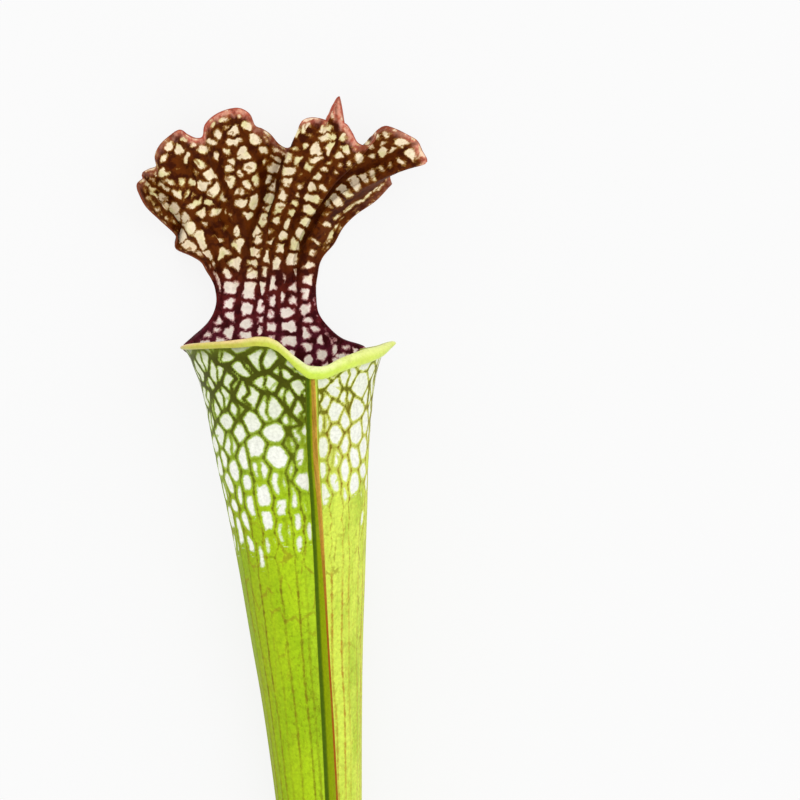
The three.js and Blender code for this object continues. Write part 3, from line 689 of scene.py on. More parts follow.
def tube_rows():
    """Distances below the lip: close together over the net, wider apart down the stalk."""
    net = np.linspace(NEXT_OUTSIDE, NET_DEPTH, NET_ROWS)
    stalk = mix(NET_DEPTH, STALK_END - STALK_LAST, np.linspace(0, 1, STALK_ROWS)[1:] ** STALK_CROWD)
    return np.concatenate([RIM_ROWS, net, stalk, [STALK_END - RIM_ROWS[1]]])


def build_tube():
    """The tube as closed rings: up the inside of the hollow, over the rim, down the outside with the wing
    among its columns, and over the cut end."""
    rows = tube_rows()[:, None]
    share = np.linspace(0, 1, TUBE_COLUMNS)

    def round_from_wing(s):
        """Angles of the columns, from one foot of the wing round the back to the other."""
        root = np.degrees(np.arcsin(WING_ROOT / along(TUBE_RADIUS, s)))
        return mix(root, 360 - root, share)

    deg = round_from_wing(rows)
    s = rows + 0 * deg
    y = row_y(s, deg)
    apart, strength = line_field(s, deg)
    radius = outer_radius(y, deg)
    rib = RIB_HEIGHT * (np.exp(-(apart / RIB_HALF) ** 2) - RIB_SUNK) * strength
    rib *= smooth(*RIBS_START, s) * np.minimum(1, radius / RIBS_FULL)
    rib *= smooth(0, RIBS_CLEAR, share * (1 - share))
    net, strand, fine, white = net_fields(s, deg)
    net = mix(net, strand, smooth(*RUNGS_END, s) * (1 - white))
    relief = vein_relief(net) * smooth(*RELIEF_STARTS, s) * (1 - smooth(*RELIEF_ENDS, s))
    body = polar(radius + rib + relief, deg, y)

    side, height, lost = wing_profile()
    wing_s = rows + 0 * side
    wing_deg = 0 * wing_s
    wing_y = row_y(wing_s, wing_deg)
    reach = (height * along(WING_HEIGHT, rows) - lost) * smooth(0, WING_START, rows)
    plain = along(TUBE_RADIUS, rows)
    sunk = (1 - np.cos(np.arcsin(np.clip(side / plain, -1, 1)))) * plain * (1 - height)
    wing = polar(outer_radius(wing_y, wing_deg) + reach - sunk, wing_deg, wing_y, side)
    outer = np.concatenate([body, wing], axis=1)

    net_end = NET_DEPTH - NET_SPARE
    upper = np.linspace(NEXT_INSIDE, net_end, HOLLOW_ROWS[0])
    lower = mix(net_end, HOLLOW_DEPTH, np.linspace(0, 1, HOLLOW_ROWS[1])[1:] ** HOLLOW_CROWD)
    depths = np.concatenate([RIM_ROWS, upper, lower])[:, None]
    across = np.degrees(side / along(TUBE_RADIUS, depths))
    deg_in = np.concatenate([round_from_wing(depths), 360 + across], axis=1)
    s_in = depths + 0 * deg_in
    y_in = row_y(s_in, deg_in)
    narrow = mix(1, HOLLOW_END, smooth(HOLLOW_DEPTH - HOLLOW_TAPER, HOLLOW_DEPTH, s_in))
    inner = polar((outer_radius(y_in, deg_in) - WALL) * narrow, deg_in, y_in)[::-1]
    inner[..., 2] = np.maximum(LEAST_FLOOR, inner[..., 2])

    end_x, end_z, _ = middle(np.array(-STALK_END))
    centre = np.array([end_x, -STALK_END, end_z])
    flat = outer[-1] * [1, 0, 1] + [0, -STALK_END, 0]
    cut = np.stack([mix(centre, flat, ring) for ring in CUT_RINGS])
    inwards = 1 - np.array(CUT_RINGS)[:, None]

    def whole(inside, on_body, on_wing, at_cut=0.0):
        """One value a point, over the inside, the body beside the wing, and the cut end."""
        outside = np.concatenate([on_body + 0 * s, on_wing + 0 * wing_s], axis=1)
        return np.concatenate([(inside + 0 * s_in)[::-1], outside, at_cut + 0 * cut[..., 0]])

    net_in, strand_in, fine_in, white_in = net_fields(s_in, deg_in)
    apart_in, strength_in = line_field(s_in, np.mod(deg_in, 360))
    attributes = {
        "net": whole(net_in, net, -1, FAR),
        "strand": whole(strand_in, strand, -1, FAR),
        "fine": whole(fine_in, fine, FAR, FAR),
        "white": whole(white_in, white, 0),
        "line": whole(apart_in, apart, FAR, FAR),
        "line_strength": whole(strength_in * LINES_INSIDE, strength, 0),
        "depth": whole(s_in, s, wing_s, STALK_END),
        "turn": whole(wrap(deg_in), wrap(deg), np.sign(side) * WING_TURN),
        "wing": whole(0, 0, height),
        "wing_side": whole(0, 0, side),
        "inside": whole(1, 0, 0),
        "cut": whole(0, 0, 0, inwards + CUT_MARK),
    }
    rings = np.concatenate([inner, outer, cut])
    bottom = inner[0].mean(0) - [0, WALL, 0]
    return closed_rings("tube", rings, bottom, centre, attributes, flip=True)


def build_lip():
    """The rolled lip: an oval section, half height and half depth by angle, carried round the rim from one
    foot of the column to the other."""
    deg = np.linspace(-LIP_END_DEG, LIP_END_DEG, LIP_COLUMNS)[:, None]
    turn = (np.arange(LIP_SIDES) + 0.5) / LIP_SIDES * 2 * math.pi
    high = along(LIP_HALF_HEIGHT, deg)
    wide = np.maximum(LIP_HALF_DEPTH, high * LIP_DEPTH_SHARE)
    uneven = 1 + LIP_UNEVEN * wander(deg.ravel(), 5, longest=60)[:, None]
    x0, z0, _ = middle(np.array(0.0))
    a = (deg + TURN_DEG) * DEG
    r = along(RIM_RADIUS, deg) - LIP_INSET + wide * uneven * np.cos(turn)
    y = along(RIM_HEIGHT, deg) + high * uneven * np.sin(turn)
    rings = np.stack([x0 + r * np.sin(a), y, z0 + r * np.cos(a)], axis=-1)
    tips = []
    for end, outward in ((0, -1), (-1, 1)):
        tangent = np.array([np.cos(a[end, 0]), 0, -np.sin(a[end, 0])])
        tips.append(rings[end].mean(0) + outward * LIP_TIP * tangent)
    attributes = {"turn": deg + 0 * turn, "upper": np.sin(turn) + 0 * deg}
    return closed_rings("lip", rings, *tips, attributes)


def margin_curve():
    """The margin with even steps along it: share of its length, and x, y and ruffle."""
    t = np.linspace(0, 1, (len(MARGIN) - 1) * MARGIN_STEPS + 1)
    curve = np.stack([level([p[k] for p in MARGIN], t) for k in range(3)], axis=-1)
    run = lengths(curve)
    return run / run[-1], curve


MARGIN_SHARE, MARGIN_CURVE = margin_curve()


def sheet_middle(u, v):
    """Middle of the sheet at u across (-1 left, 1 right) and v up (0 rim, 1 margin, below 0 down inside the
    tube). Low down it is a strip of the tube's wall at an angle mixed between the edges' angles. Further up
    it runs straight across between the edges, arched and hollowed, and towards v = 1 it is drawn out to
    the frilled margin by (margin - plain top) * v ** power."""
    share = (u + 1) / 2
    left = [level([p[k] for p in LEFT_EDGE], v) for k in (0, 1)]
    right = [level([p[k] for p in RIGHT_EDGE], v) for k in (0, 1)]
    y = mix(left[1], right[1], share) + level(ARCH, v) * (1 - u * u)
    y = y + np.minimum(v, 0) * FOOT_DROP
    on_tube = 1 - smooth(*LEAVES_TUBE, v)

    beta = mix(level(LEFT_ANGLE, v), level(RIGHT_ANGLE, v), share)
    radius = outer_radius(y, 180 - TURN_DEG - beta) - WALL / 2
    x0, z0, _ = middle(y)
    tube_x = x0 + radius * np.sin(beta * DEG)
    tube_z = z0 - radius * np.cos(beta * DEG)

    low, mid, high = level(Z_LEFT, v), level(Z_MIDDLE, v), level(Z_RIGHT, v)
    plain = mid + (high - low) / 2 * u + ((high + low) / 2 - mid) * u * u
    curl = level(CURL_LEFT, v) * np.exp(-(((1 + u) / CURL_REACH) ** 2))
    curl += level(CURL_RIGHT, v) * np.exp(-(((1 - u) / CURL_REACH) ** 2))

    margin = [np.interp(share, MARGIN_SHARE, MARGIN_CURVE[:, k]) for k in range(3)]
    top_x = mix(LEFT_EDGE[-1][0], RIGHT_EDGE[-1][0], share)
    top_y = mix(LEFT_EDGE[-1][1], RIGHT_EDGE[-1][1], share) + ARCH[-1] * (1 - u * u)
    height = np.maximum(v, 0)
    at_tip_end = smooth(*TIP_END_FROM, share)
    power = mix(FRILL_POWER, TIP_POWER, smooth(*TIP_FROM, share))
    frill = height ** mix(power, TIP_END_POWER, at_tip_end)
    frill_up = height ** mix(power, TIP_END_RISE, at_tip_end)
    reach = np.where(margin[0] < POINT_AT, POINT_LEFT, POINT_RIGHT)
    from_point = np.minimum(1, np.abs(margin[0] - POINT_AT) / reach)
    point = np.where(margin[1] > POINT_LOWEST, 1 - from_point ** POINT_SHAPE, 0)
    x = mix(mix(left[0], right[0], share), tube_x, on_tube) + (margin[0] - top_x) * frill
    y = y + (margin[1] - top_y) * frill_up + POINT_HEIGHT * point * smooth(POINT_FROM, 1, v)
    z = mix(plain + curl, tube_z, on_tube) + margin[2] * height ** RUFFLE_POWER * smooth(*RUFFLE_FROM, v)
    return np.stack([x, y, np.maximum(SHEET_LOW, z)], axis=-1)


def hood_grid():
    """Values of u and v at the grid's columns and rows: even, with a few very close to every edge so that
    the edges can be rounded, and more across the point."""
    close = np.array(EDGE_ROWS)
    off_point = np.abs(MARGIN_CURVE[:, 0] - POINT_AT) + 99 * (MARGIN_CURVE[:, 1] < POINT_LOWEST)
    middle_u = 2 * MARGIN_SHARE[np.argmin(off_point)] - 1
    near_point = middle_u + np.linspace(-POINT_SPREAD, POINT_SPREAD, POINT_COLUMNS)
    even = np.linspace(-1, 1, HOOD_COLUMNS)[1:-1]
    even = even[(np.abs(even - middle_u) > POINT_SPREAD + CLEAR_POINT) & (np.abs(even) < CLEAR_U)]
    u = np.sort(np.concatenate([even, near_point, -1 + close, 1 - close]))
    even = np.linspace(0, 1, HOOD_ROWS)[1:-1]
    inner = mix(-FOOT_BELOW, 1, even + ROWS_CROWD * even * (1 - even))
    inner = inner[(inner < CLEAR_V[1]) & (inner > CLEAR_V[0] - FOOT_BELOW)]
    v = np.sort(np.concatenate([inner, 1 - close, -FOOT_BELOW + close]))
    return np.meshgrid(u, v)


def trace(vein):
    """A main vein as points PATH_STEP apart along a smooth curve through its places, carried straight on
    past its end, and its half width."""
    half, *path = vein
    at = np.linspace(0, 1, TRACE_STEPS)
    curve = np.stack([level([p[k] for p in path], at) for k in range(2)], axis=-1)
    ahead = curve[-1] - curve[-TRACE_LAST]
    curve = np.concatenate([curve, [curve[-1] + ahead / np.linalg.norm(ahead) * PAST_MARGIN]])
    return even_points(curve, PATH_STEP), half


def even_points(curve, step=None, count=None):
    """The same curve with its points evenly spaced, by a step or a count."""
    run = lengths(curve)
    count = count or max(2, int(run[-1] / step))
    even = np.linspace(0, run[-1], count)
    return np.stack([np.interp(even, run, curve[:, k]) for k in range(curve.shape[1])], axis=-1)


def cut_path(path, start=None, end=None):
    """The part of a path between the places nearest to two points."""
    first = 0 if start is None else np.argmin(((path - start) ** 2).sum(-1))
    last = len(path) if end is None else np.argmin(((path - end) ** 2).sum(-1)) + 1
    return path[first:last]


def matched(left, right):
    """The same two paths with the same number of points."""
    count = max(4, int(max(len(left), len(right)) * MATCHED_SHARE))
    return [even_points(side, count=count) for side in (left, right)]


def main_gaps():
    """The hood's main veins as (path, half width); the gaps between them as (matched paths, half widths); and
    for each gap the numbers of the gaps whose windows border on its own. A gap that a vein forks splits into
    three: below the fork, and on either side of it."""
    v = np.linspace(-FOOT_BELOW, 1, 120)
    edges = [sheet_middle(0 * v + side, v)[:, :2] for side in (-EDGE_VEIN_U, EDGE_VEIN_U)]
    left_edge, right_edge = ((even_points(edge, PATH_STEP), EDGE_VEIN_HALF) for edge in edges)
    at_neck = [left_edge, *map(trace, PAST_NECK), right_edge]
    forks = {k: trace(vein) for k, vein in FORKS.items()}
    gaps, borders = [], []
    for k, (left, right) in enumerate(zip(at_neck, at_neck[1:])):
        sides = left[0], right[0]
        from_neck = [np.abs(path[:, 1] - NECK_Y) + FAR * (path[:, 1] > NECK_TOP) for path in sides]
        starts = [path[np.argmin(away)] for path, away in zip(sides, from_neck)]
        down = matched(*(cut_path(path, None, start) for path, start in zip(sides, starts)))
        up = [cut_path(path, start) for path, start in zip(sides, starts)]
        own = len(gaps)
        if k in forks:
            new, new_half = forks[k]
            upper = [cut_path(path, new[0]) for path in up]
            up = [cut_path(path, None, new[0]) for path in up]
            beside = [
                (matched(upper[0], new), (left[1], new_half)),
                (matched(new, upper[1]), (new_half, right[1])),
            ]
            borders += [[own, own + 1, own + 2], [own, own + 1], [own, own + 2]]
        else:
            beside = []
            borders.append([own])
        whole = [np.concatenate(parts) for parts in zip(down, matched(*up))]
        gaps += [(whole, (left[1], right[1])), *beside]
    return at_neck + list(forks.values()), gaps, borders


def cells(sides, halves, rng, wide_share=1.0, tall_share=1.0):
    """Windows of the gap between two veins, in rows across it: middles, and half width of the veins beside
    each. Every other window of a row stands half a row further up."""
    left, right = sides
    run = lengths((left + right) / 2)
    clear = np.linalg.norm(right - left, axis=1) - sum(halves)

    def at_run(values, at):
        """Place on a path at a distance along the gap."""
        return np.stack([np.interp(at, run, values[:, k]) for k in range(2)])

    found = []
    at = rng.uniform(0, CELL_TALL[0])
    while at < run[-1]:
        ends = [at_run(side, at) for side in sides]
        wide = np.interp(at, run, clear)
        neck = np.exp(-((ends[0][1] - NECK_Y) / NECK_REACH) ** 2)
        tall = (rng.uniform(*CELL_TALL) + CELL_TALL_NECK * neck) * tall_share
        count = max(1, round(wide / mix(*CELL_WIDE, neck) / wide_share))
        up = at_run((left + right) / 2, at + tall / 2) - sum(ends) / 2
        for i in range(count):
            share = (halves[0] + wide * (i + 0.5) / count) / (wide + sum(halves))
            shake = rng.normal(0, CELL_SHAKE * wide_share, 2)
            half = (rng.uniform(*CELL_HALF) + CELL_HALF_NECK * neck) * wide_share ** 3
            half += DARK_CELLS[1] * (rng.uniform() < DARK_CELLS[0])
            found.append([*(mix(*ends, share) + up * (i % 2) + shake), half])
        at += tall
    return np.array(found)


def nearest_gap(flat, gaps):
    """The number of the gap that each point lies in: that of the nearest of many samples of the gaps."""
    shares = np.linspace(*GAP_SAMPLES)[:, None, None]
    samples = [mix(left[None, ::2], right[None, ::2], shares).reshape(-1, 2) for (left, right), _ in gaps]
    number = np.repeat(np.arange(len(gaps)), [len(sample) for sample in samples])
    samples = np.concatenate(samples)
    size = (samples ** 2).sum(1)
    parts = np.array_split(flat, GAP_PARTS)
    return np.concatenate([number[np.argmin(size - 2 * part @ samples.T, axis=1)] for part in parts])


def hood_fields(points):
    """Distances in plan from all the hood's veins, from its main veins alone and from the fine ones, negative
    inside. The veins between windows lie halfway between the middles of neighbours:
    ((distance to the other) ** 2 - (distance to the nearest) ** 2) / (2 * their distance)."""
    rng = np.random.default_rng(21)
    flat = points[..., :2].reshape(-1, 2)
    flat = flat + WARP * np.column_stack([wander(flat, seed, longest=WARP_LENGTH) for seed in (31, 32)])
    total, main, fine = (np.full(len(flat), NO_VEIN) for _ in range(3))
    veins, gaps, borders = main_gaps()
    for k, (path, full) in enumerate(veins):
        run = lengths(path)
        half = mix(mix(NECK_HALF, full, NECK_OWN), full, smooth(*NECK_ENDS, path[:, 1]))
        half = half * mix(VEIN_THINS_TO, 1, smooth(PAST_MARGIN, PAST_MARGIN + VEIN_THINS, run[-1] - run))
        half = half * (1 + VEIN_UNEVEN * wander(run, 300 + k, longest=6))
        half = half + FOOT_EXTRA * (1 - smooth(*FOOT_TOP, path[:, 1]))
        low, high = path.min(0) - VEIN_NEAR, path.max(0) + VEIN_NEAR
        near = np.nonzero(((flat > low) & (flat < high)).all(1))[0]
        main[near] += near_vein(flat[near], path, half, VEIN_ROUNDING)
    total += main
    shares = [(FOLDED_WIDE, FOLDED_TALL) if k in FOLDED_GAPS else (1, 1) for k in range(len(gaps))]
    windows = [cells(*gap, rng, *own) for gap, own in zip(gaps, shares)]
    number = nearest_gap(flat, gaps)
    for k, seen in enumerate(borders):
        own = np.nonzero(number == k)[0]
        x, y, half = np.concatenate([windows[other] for other in seen]).T
        away = (flat[own, :1] - x) ** 2 + (flat[own, 1:] - y) ** 2
        nearest = away.argmin(1)
        apart = np.hypot(x[nearest, None] - x, y[nearest, None] - y)
        between = (away - away.min(1)[:, None]) / (2 * apart + 1e-6) - (half[nearest, None] + half) / 2
        between[np.arange(len(own)), nearest] = FAR
        total[own] += np.exp(-between / CELL_ROUNDING).sum(1) ** (CELL_ROUNDING / VEIN_ROUNDING)
        for place in windows[k][rng.uniform(size=len(windows[k])) < SPUR_SHARE, :2]:
            tip = place + rng.normal(0, SPUR_SHAKE, 2)
            a = rng.uniform(0, 360) * DEG
            root = tip + rng.uniform(*SPUR_LENGTH) * np.array([math.cos(a), math.sin(a)])
            fine[own] += near_vein(flat[own], np.array([tip, root]), SPUR_HALF, VEIN_ROUNDING)
    for x, y, radius in DARK_PATCHES:
        total += np.exp((radius - np.hypot(flat[:, 0] - x, flat[:, 1] - y)) / VEIN_ROUNDING)
    return [soft_distance(near, VEIN_ROUNDING).reshape(points.shape[:2]) for near in (total, main, fine)]


def build_hood():
    """The sheet with its thickness: two faces that share their outline, each half a thickness from the
    middle, falling to nothing at the outline as a half circle does."""
    u, v = hood_grid()
    points = sheet_middle(u, v)
    normal = np.cross(np.gradient(points, axis=1), np.gradient(points, axis=0))
    normal /= np.linalg.norm(normal, axis=-1)[..., None] + 1e-12

    def run_along(axis):
        """Distance along the sheet from its first row or column."""
        steps = np.linalg.norm(np.diff(points, axis=axis), axis=-1)
        return np.concatenate([0 * steps.take([0], axis), np.cumsum(steps, axis)], axis)

    from_foot, from_left = run_along(0), run_along(1)
    to_side = np.minimum(from_left, from_left[:, -1:] - from_left)
    to_edge = np.minimum(from_foot[-1:] - from_foot, to_side)
    inside = np.minimum(to_edge, from_foot)

    net, main, fine = hood_fields(points)
    flat = points[..., :2].reshape(-1, 2)
    winding = MARGIN_VEIN[0] + MARGIN_VEIN_WINDS * wander(flat, 41, longest=6).reshape(net.shape)
    margin_vein = np.abs(to_edge - winding) - MARGIN_VEIN[1] + FAR * (v < MARGIN_VEIN_FROM)
    near = np.exp(-net / VEIN_ROUNDING) + np.exp(-margin_vein / VEIN_ROUNDING)
    net = soft_distance(near + NO_VEIN, VEIN_ROUNDING)
    relief = vein_relief(net) * smooth(*RELIEF_FROM_EDGE, inside) * (v > RELIEF_FROM_V)
    thin = mix(SHEET_HALF_MARGIN, SHEET_HALF, smooth(*SHEET_THINS, to_edge))
    beta = mix(level(LEFT_ANGLE, v), level(RIGHT_ANGLE, v), (u + 1) / 2)
    above_rim = points[..., 1] - along(RIM_HEIGHT, wrap(180 - TURN_DEG - beta))
    flush_back = mix(HIDDEN_BACK, FLUSH_BACK, smooth(*HIDDEN_ENDS, above_rim))
    faces_out = []
    for flush, sign, low in ((FLUSH_FRONT, 1, BACK_LOW + 0.2), (flush_back, -1, BACK_LOW)):
        half = mix(flush, thin, smooth(*FLUSH_ENDS, above_rim))
        rounded = half * np.sqrt(1 - (1 - np.clip(inside / half, 0, 1)) ** 2)
        shell = points + sign * normal * (rounded + relief)[..., None]
        shell[..., 2] = np.maximum(low, shell[..., 2])
        faces_out.append(shell)
    front, back = faces_out
    outline = np.ones(u.shape, bool)
    outline[1:-1, 1:-1] = False
    front[outline] = points[outline]

    number = np.arange(u.size).reshape(u.shape)
    back_number = number.copy()
    core = back_number[1:-1, 1:-1]
    core[:] = u.size + np.arange(core.size).reshape(core.shape)

    def quads(n):
        """Faces between neighbouring rows and columns of a grid of point numbers."""
        return np.stack([n[:-1, :-1], n[:-1, 1:], n[1:, 1:], n[1:, :-1]], axis=-1).reshape(-1, 4)

    faces = np.concatenate([quads(number), quads(back_number)[:, ::-1]])
    all_points = np.concatenate([front.reshape(-1, 3), back[1:-1, 1:-1].reshape(-1, 3)])
    on_point = smooth(*POINT_BASE, points[..., 1]) * smooth(*POINT_SIDE, points[..., 0])
    at_point = to_edge * (1 - POINT_MARGIN * on_point)
    fields = {
        "net": net,
        "main": main,
        "fine": fine,
        "margin": np.where(v > MARGIN_COLOUR_FROM, at_point, np.maximum(to_edge, SIDE_EDGE)),
        "height": points[..., 1],
        "salmon": along(SALMON, points[..., 0]) * smooth(*SALMON_STARTS, points[..., 1]),
    }
    attributes = {key: np.append(field, field[1:-1, 1:-1]) for key, field in fields.items()}
    return make_mesh("hood", all_points, faces, attributes)


# Materials
def linear(colour):
    """A colour given by its 8-bit screen values, as the linear colour that shaders take."""
    shares = [value / 255 for value in colour]
    return (*(c / 12.92 if c <= 0.04045 else ((c + 0.055) / 1.055) ** 2.4 for c in shares), 1.0)


class Nodes:
    """Adds nodes to one tree. A method gives back the socket with its result, unless it says otherwise."""

    def __init__(self, tree):
        self.tree = tree

    def fill(self, socket, value):
        """Links another socket to this one or sets its value. A colour of three numbers is an 8-bit one."""
        if isinstance(value, bpy.types.NodeSocket):
            self.tree.links.new(value, socket)
        elif socket.type == "RGBA" and len(value) == 3:
            socket.default_value = linear(value)
        else:
            socket.default_value = value

    def place(self, kind, values=None, **settings):
        """Adds a node, makes its settings, fills its inputs and gives back the node itself."""
        made = self.tree.nodes.new(kind)
        for name, value in settings.items():
            setattr(made, name, value)
        for key, value in (values or {}).items():
            self.fill(made.inputs[key], value)
        return made

    def attributes(self, names):
        """A list of sockets, one for each attribute named in a string."""
        made = [self.place("ShaderNodeAttribute", attribute_name=name) for name in names.split()]
        return [node.outputs["Fac"] for node in made]

    def arith(self, operation, a, b=0.0):
        return self.place("ShaderNodeMath", {0: a, 1: b}, operation=operation).outputs[0]

    def times(self, product, *factors):
        for factor in factors:
            product = self.arith("MULTIPLY", product, factor)
        return product

    def rise(self, value, low, high, to_low=0.0, to_high=1.0):
        """Maps a value smoothly from low..high to to_low..to_high."""
        values = {"Value": value, "From Min": low, "From Max": high, "To Min": to_low, "To Max": to_high}
        return self.place("ShaderNodeMapRange", values, interpolation_type="SMOOTHSTEP").outputs["Result"]

    def fall(self, value, low, high, to_low=1.0, to_high=0.0):
        return self.rise(value, low, high, to_low, to_high)

    def blend(self, share, a, b):
        return self.place("ShaderNodeMix", {"Factor": share, 6: a, 7: b}, data_type="RGBA").outputs[2]

    def ramp(self, value, stops):
        """Colours along a value, by stops of a position and an 8-bit colour."""
        made = self.place("ShaderNodeValToRGB", {"Fac": value})
        elements = made.color_ramp.elements
        while len(elements) < len(stops):
            elements.new(0.5)
        for element, (position, *colour) in zip(elements, stops):
            element.position = position
            element.color = linear(colour)
        return made.outputs["Color"]

    def where(self, stretch=None):
        """Object coordinates. A stretch below 1 draws a pattern out along that axis."""
        spot = self.place("ShaderNodeTexCoord").outputs["Object"]
        if stretch:
            spot = self.place("ShaderNodeMapping", {"Vector": spot, "Scale": stretch}).outputs["Vector"]
        return spot

    def noise(self, scale, detail=3.0, roughness=0.5, stretch=None):
        values = {"Vector": self.where(stretch), "Scale": scale, "Detail": detail, "Roughness": roughness}
        return self.place("ShaderNodeTexNoise", values).outputs["Fac"]

    def shaken(self, value, amount, *noise):
        """A value with noise added, by half the amount at most to either side."""
        return self.arith("ADD", value, self.times(self.arith("SUBTRACT", self.noise(*noise), 0.5), amount))

    def group(self, group, values):
        """Adds a node group, fills its inputs and gives back all its outputs."""
        return self.place("ShaderNodeGroup", values, node_tree=group).outputs


NUMBER = "NodeSocketFloat"
COLOUR = "NodeSocketColor"


def new_group(name, inputs, outputs):
    """An empty node group with named sockets: its nodes, what it is given and what it puts out."""
    tree = bpy.data.node_groups.new(name, "ShaderNodeTree")
    for sockets, in_out in ((inputs, "INPUT"), (outputs, "OUTPUT")):
        for socket, kind in sockets.items():
            tree.interface.new_socket(socket, in_out=in_out, socket_type=kind)
    return Nodes(tree), tree.nodes.new("NodeGroupInput").outputs, tree.nodes.new("NodeGroupOutput").inputs


def windows_group():
    """Colours a net of veins by the distance from them: the vein's own colour, a fringe, and the window
    beyond, with fine veins drawn over it. Noise frays the edges, and more noise mottles the veins."""
    numbers = ("Distance", "Fine distance", "Fray", "Vein edge", "Window edge", "Softness")
    inputs = dict.fromkeys(numbers, NUMBER) | dict.fromkeys(("Vein", "Vein dark", "Fringe", "Window"), COLOUR)
    n, given, result = new_group("Veined windows", inputs, {"Color": COLOUR, "Window mask": NUMBER})
    ragged = n.arith("ADD", n.times(n.noise(3000, 2), 0.6), n.noise(1100, 2))
    ragged = n.times(n.arith("SUBTRACT", ragged, 0.8), given["Fray"], 2.4)
    distance = n.arith("ADD", given["Distance"], ragged)
    vein, window = (
        n.rise(distance, *(n.arith(side, given[edge], given["Softness"]) for side in ("SUBTRACT", "ADD")))
        for edge in ("Vein edge", "Window edge")
    )
    blotch = n.rise(n.noise(480, 4, 0.6), 0.42, 0.62)
    vein_colour = n.blend(blotch, given["Vein"], given["Vein dark"])
    fine = n.arith("ADD", given["Fine distance"], ragged)
    pane = n.blend(n.fall(fine, -0.05, 0.2, 0.8), given["Window"], given["Fringe"])
    n.fill(result["Color"], n.blend(window, n.blend(vein, vein_colour, given["Fringe"]), pane))
    n.fill(result["Window mask"], window)
    return n.tree


def skin_group():
    """Fine grain of the living skin: cells about a tenth of a millimetre across over soft unevenness, as a
    height for bump and a small change of tone about 1."""
    n, given, result = new_group("Leaf skin", {"Tone": NUMBER}, {"Height": NUMBER, "Tone": NUMBER})
    cells = n.place("ShaderNodeTexVoronoi", {"Vector": n.where(), "Scale": 5200}).outputs["Distance"]
    grain = n.noise(1500)
    n.fill(result["Height"], n.arith("ADD", n.times(cells, -0.35), grain))
    change = n.times(n.arith("SUBTRACT", grain, 0.5), given["Tone"], 4)
    n.fill(result["Tone"], n.arith("ADD", change, 1.0))
    return n.tree


WINDOWS = windows_group()
SKIN = skin_group()

COLUMN_VEIN = (94, 26, 46)  # colour of the veins at the foot of the column, and round it inside the tube
# The darker olive towards the left side of the tube is partly painted shade of the side turned from the
# light.
LEAF_STOPS = [  # by angle from the seam, from the back round by the left, over the front, to the back
    [0, 150, 166, 26], [0.25, 144, 162, 14], [0.34, 156, 184, 18], [0.43, 172, 204, 24], [0.49, 182, 216, 40],
    [0.505, 212, 230, 86], [0.62, 210, 226, 86], [0.75, 198, 206, 70], [1, 150, 166, 26],
]
CUT_STOPS = [[0, 112, 120, 40], [0.1, 176, 190, 90], [0.5, 206, 212, 140], [1, 190, 180, 110]]
# Colours over the top of the lip, paler than the underside's: a painted highlight, brightest over the middle.
LIP_LIT_TOP_STOPS = [  # along the lip, from its left end to its right one
    [0, 150, 74, 40], [0.05, 222, 172, 100], [0.2, 226, 206, 112], [0.3, 244, 214, 150], [0.4, 236, 226, 140],
    [0.48, 240, 246, 180], [0.6, 236, 244, 150], [0.85, 224, 232, 118], [1, 160, 160, 60],
]
# Colours of the lip's underside: yellow-green, darkening to olive towards the left end as painted shade.
LIP_SHADED_LOW_STOPS = [
    [0, 140, 120, 30], [0.1, 188, 180, 60], [0.3, 190, 186, 64], [0.42, 200, 216, 70], [0.52, 202, 230, 74],
    [0.65, 210, 230, 90], [0.85, 204, 218, 88], [1, 160, 160, 60],
]


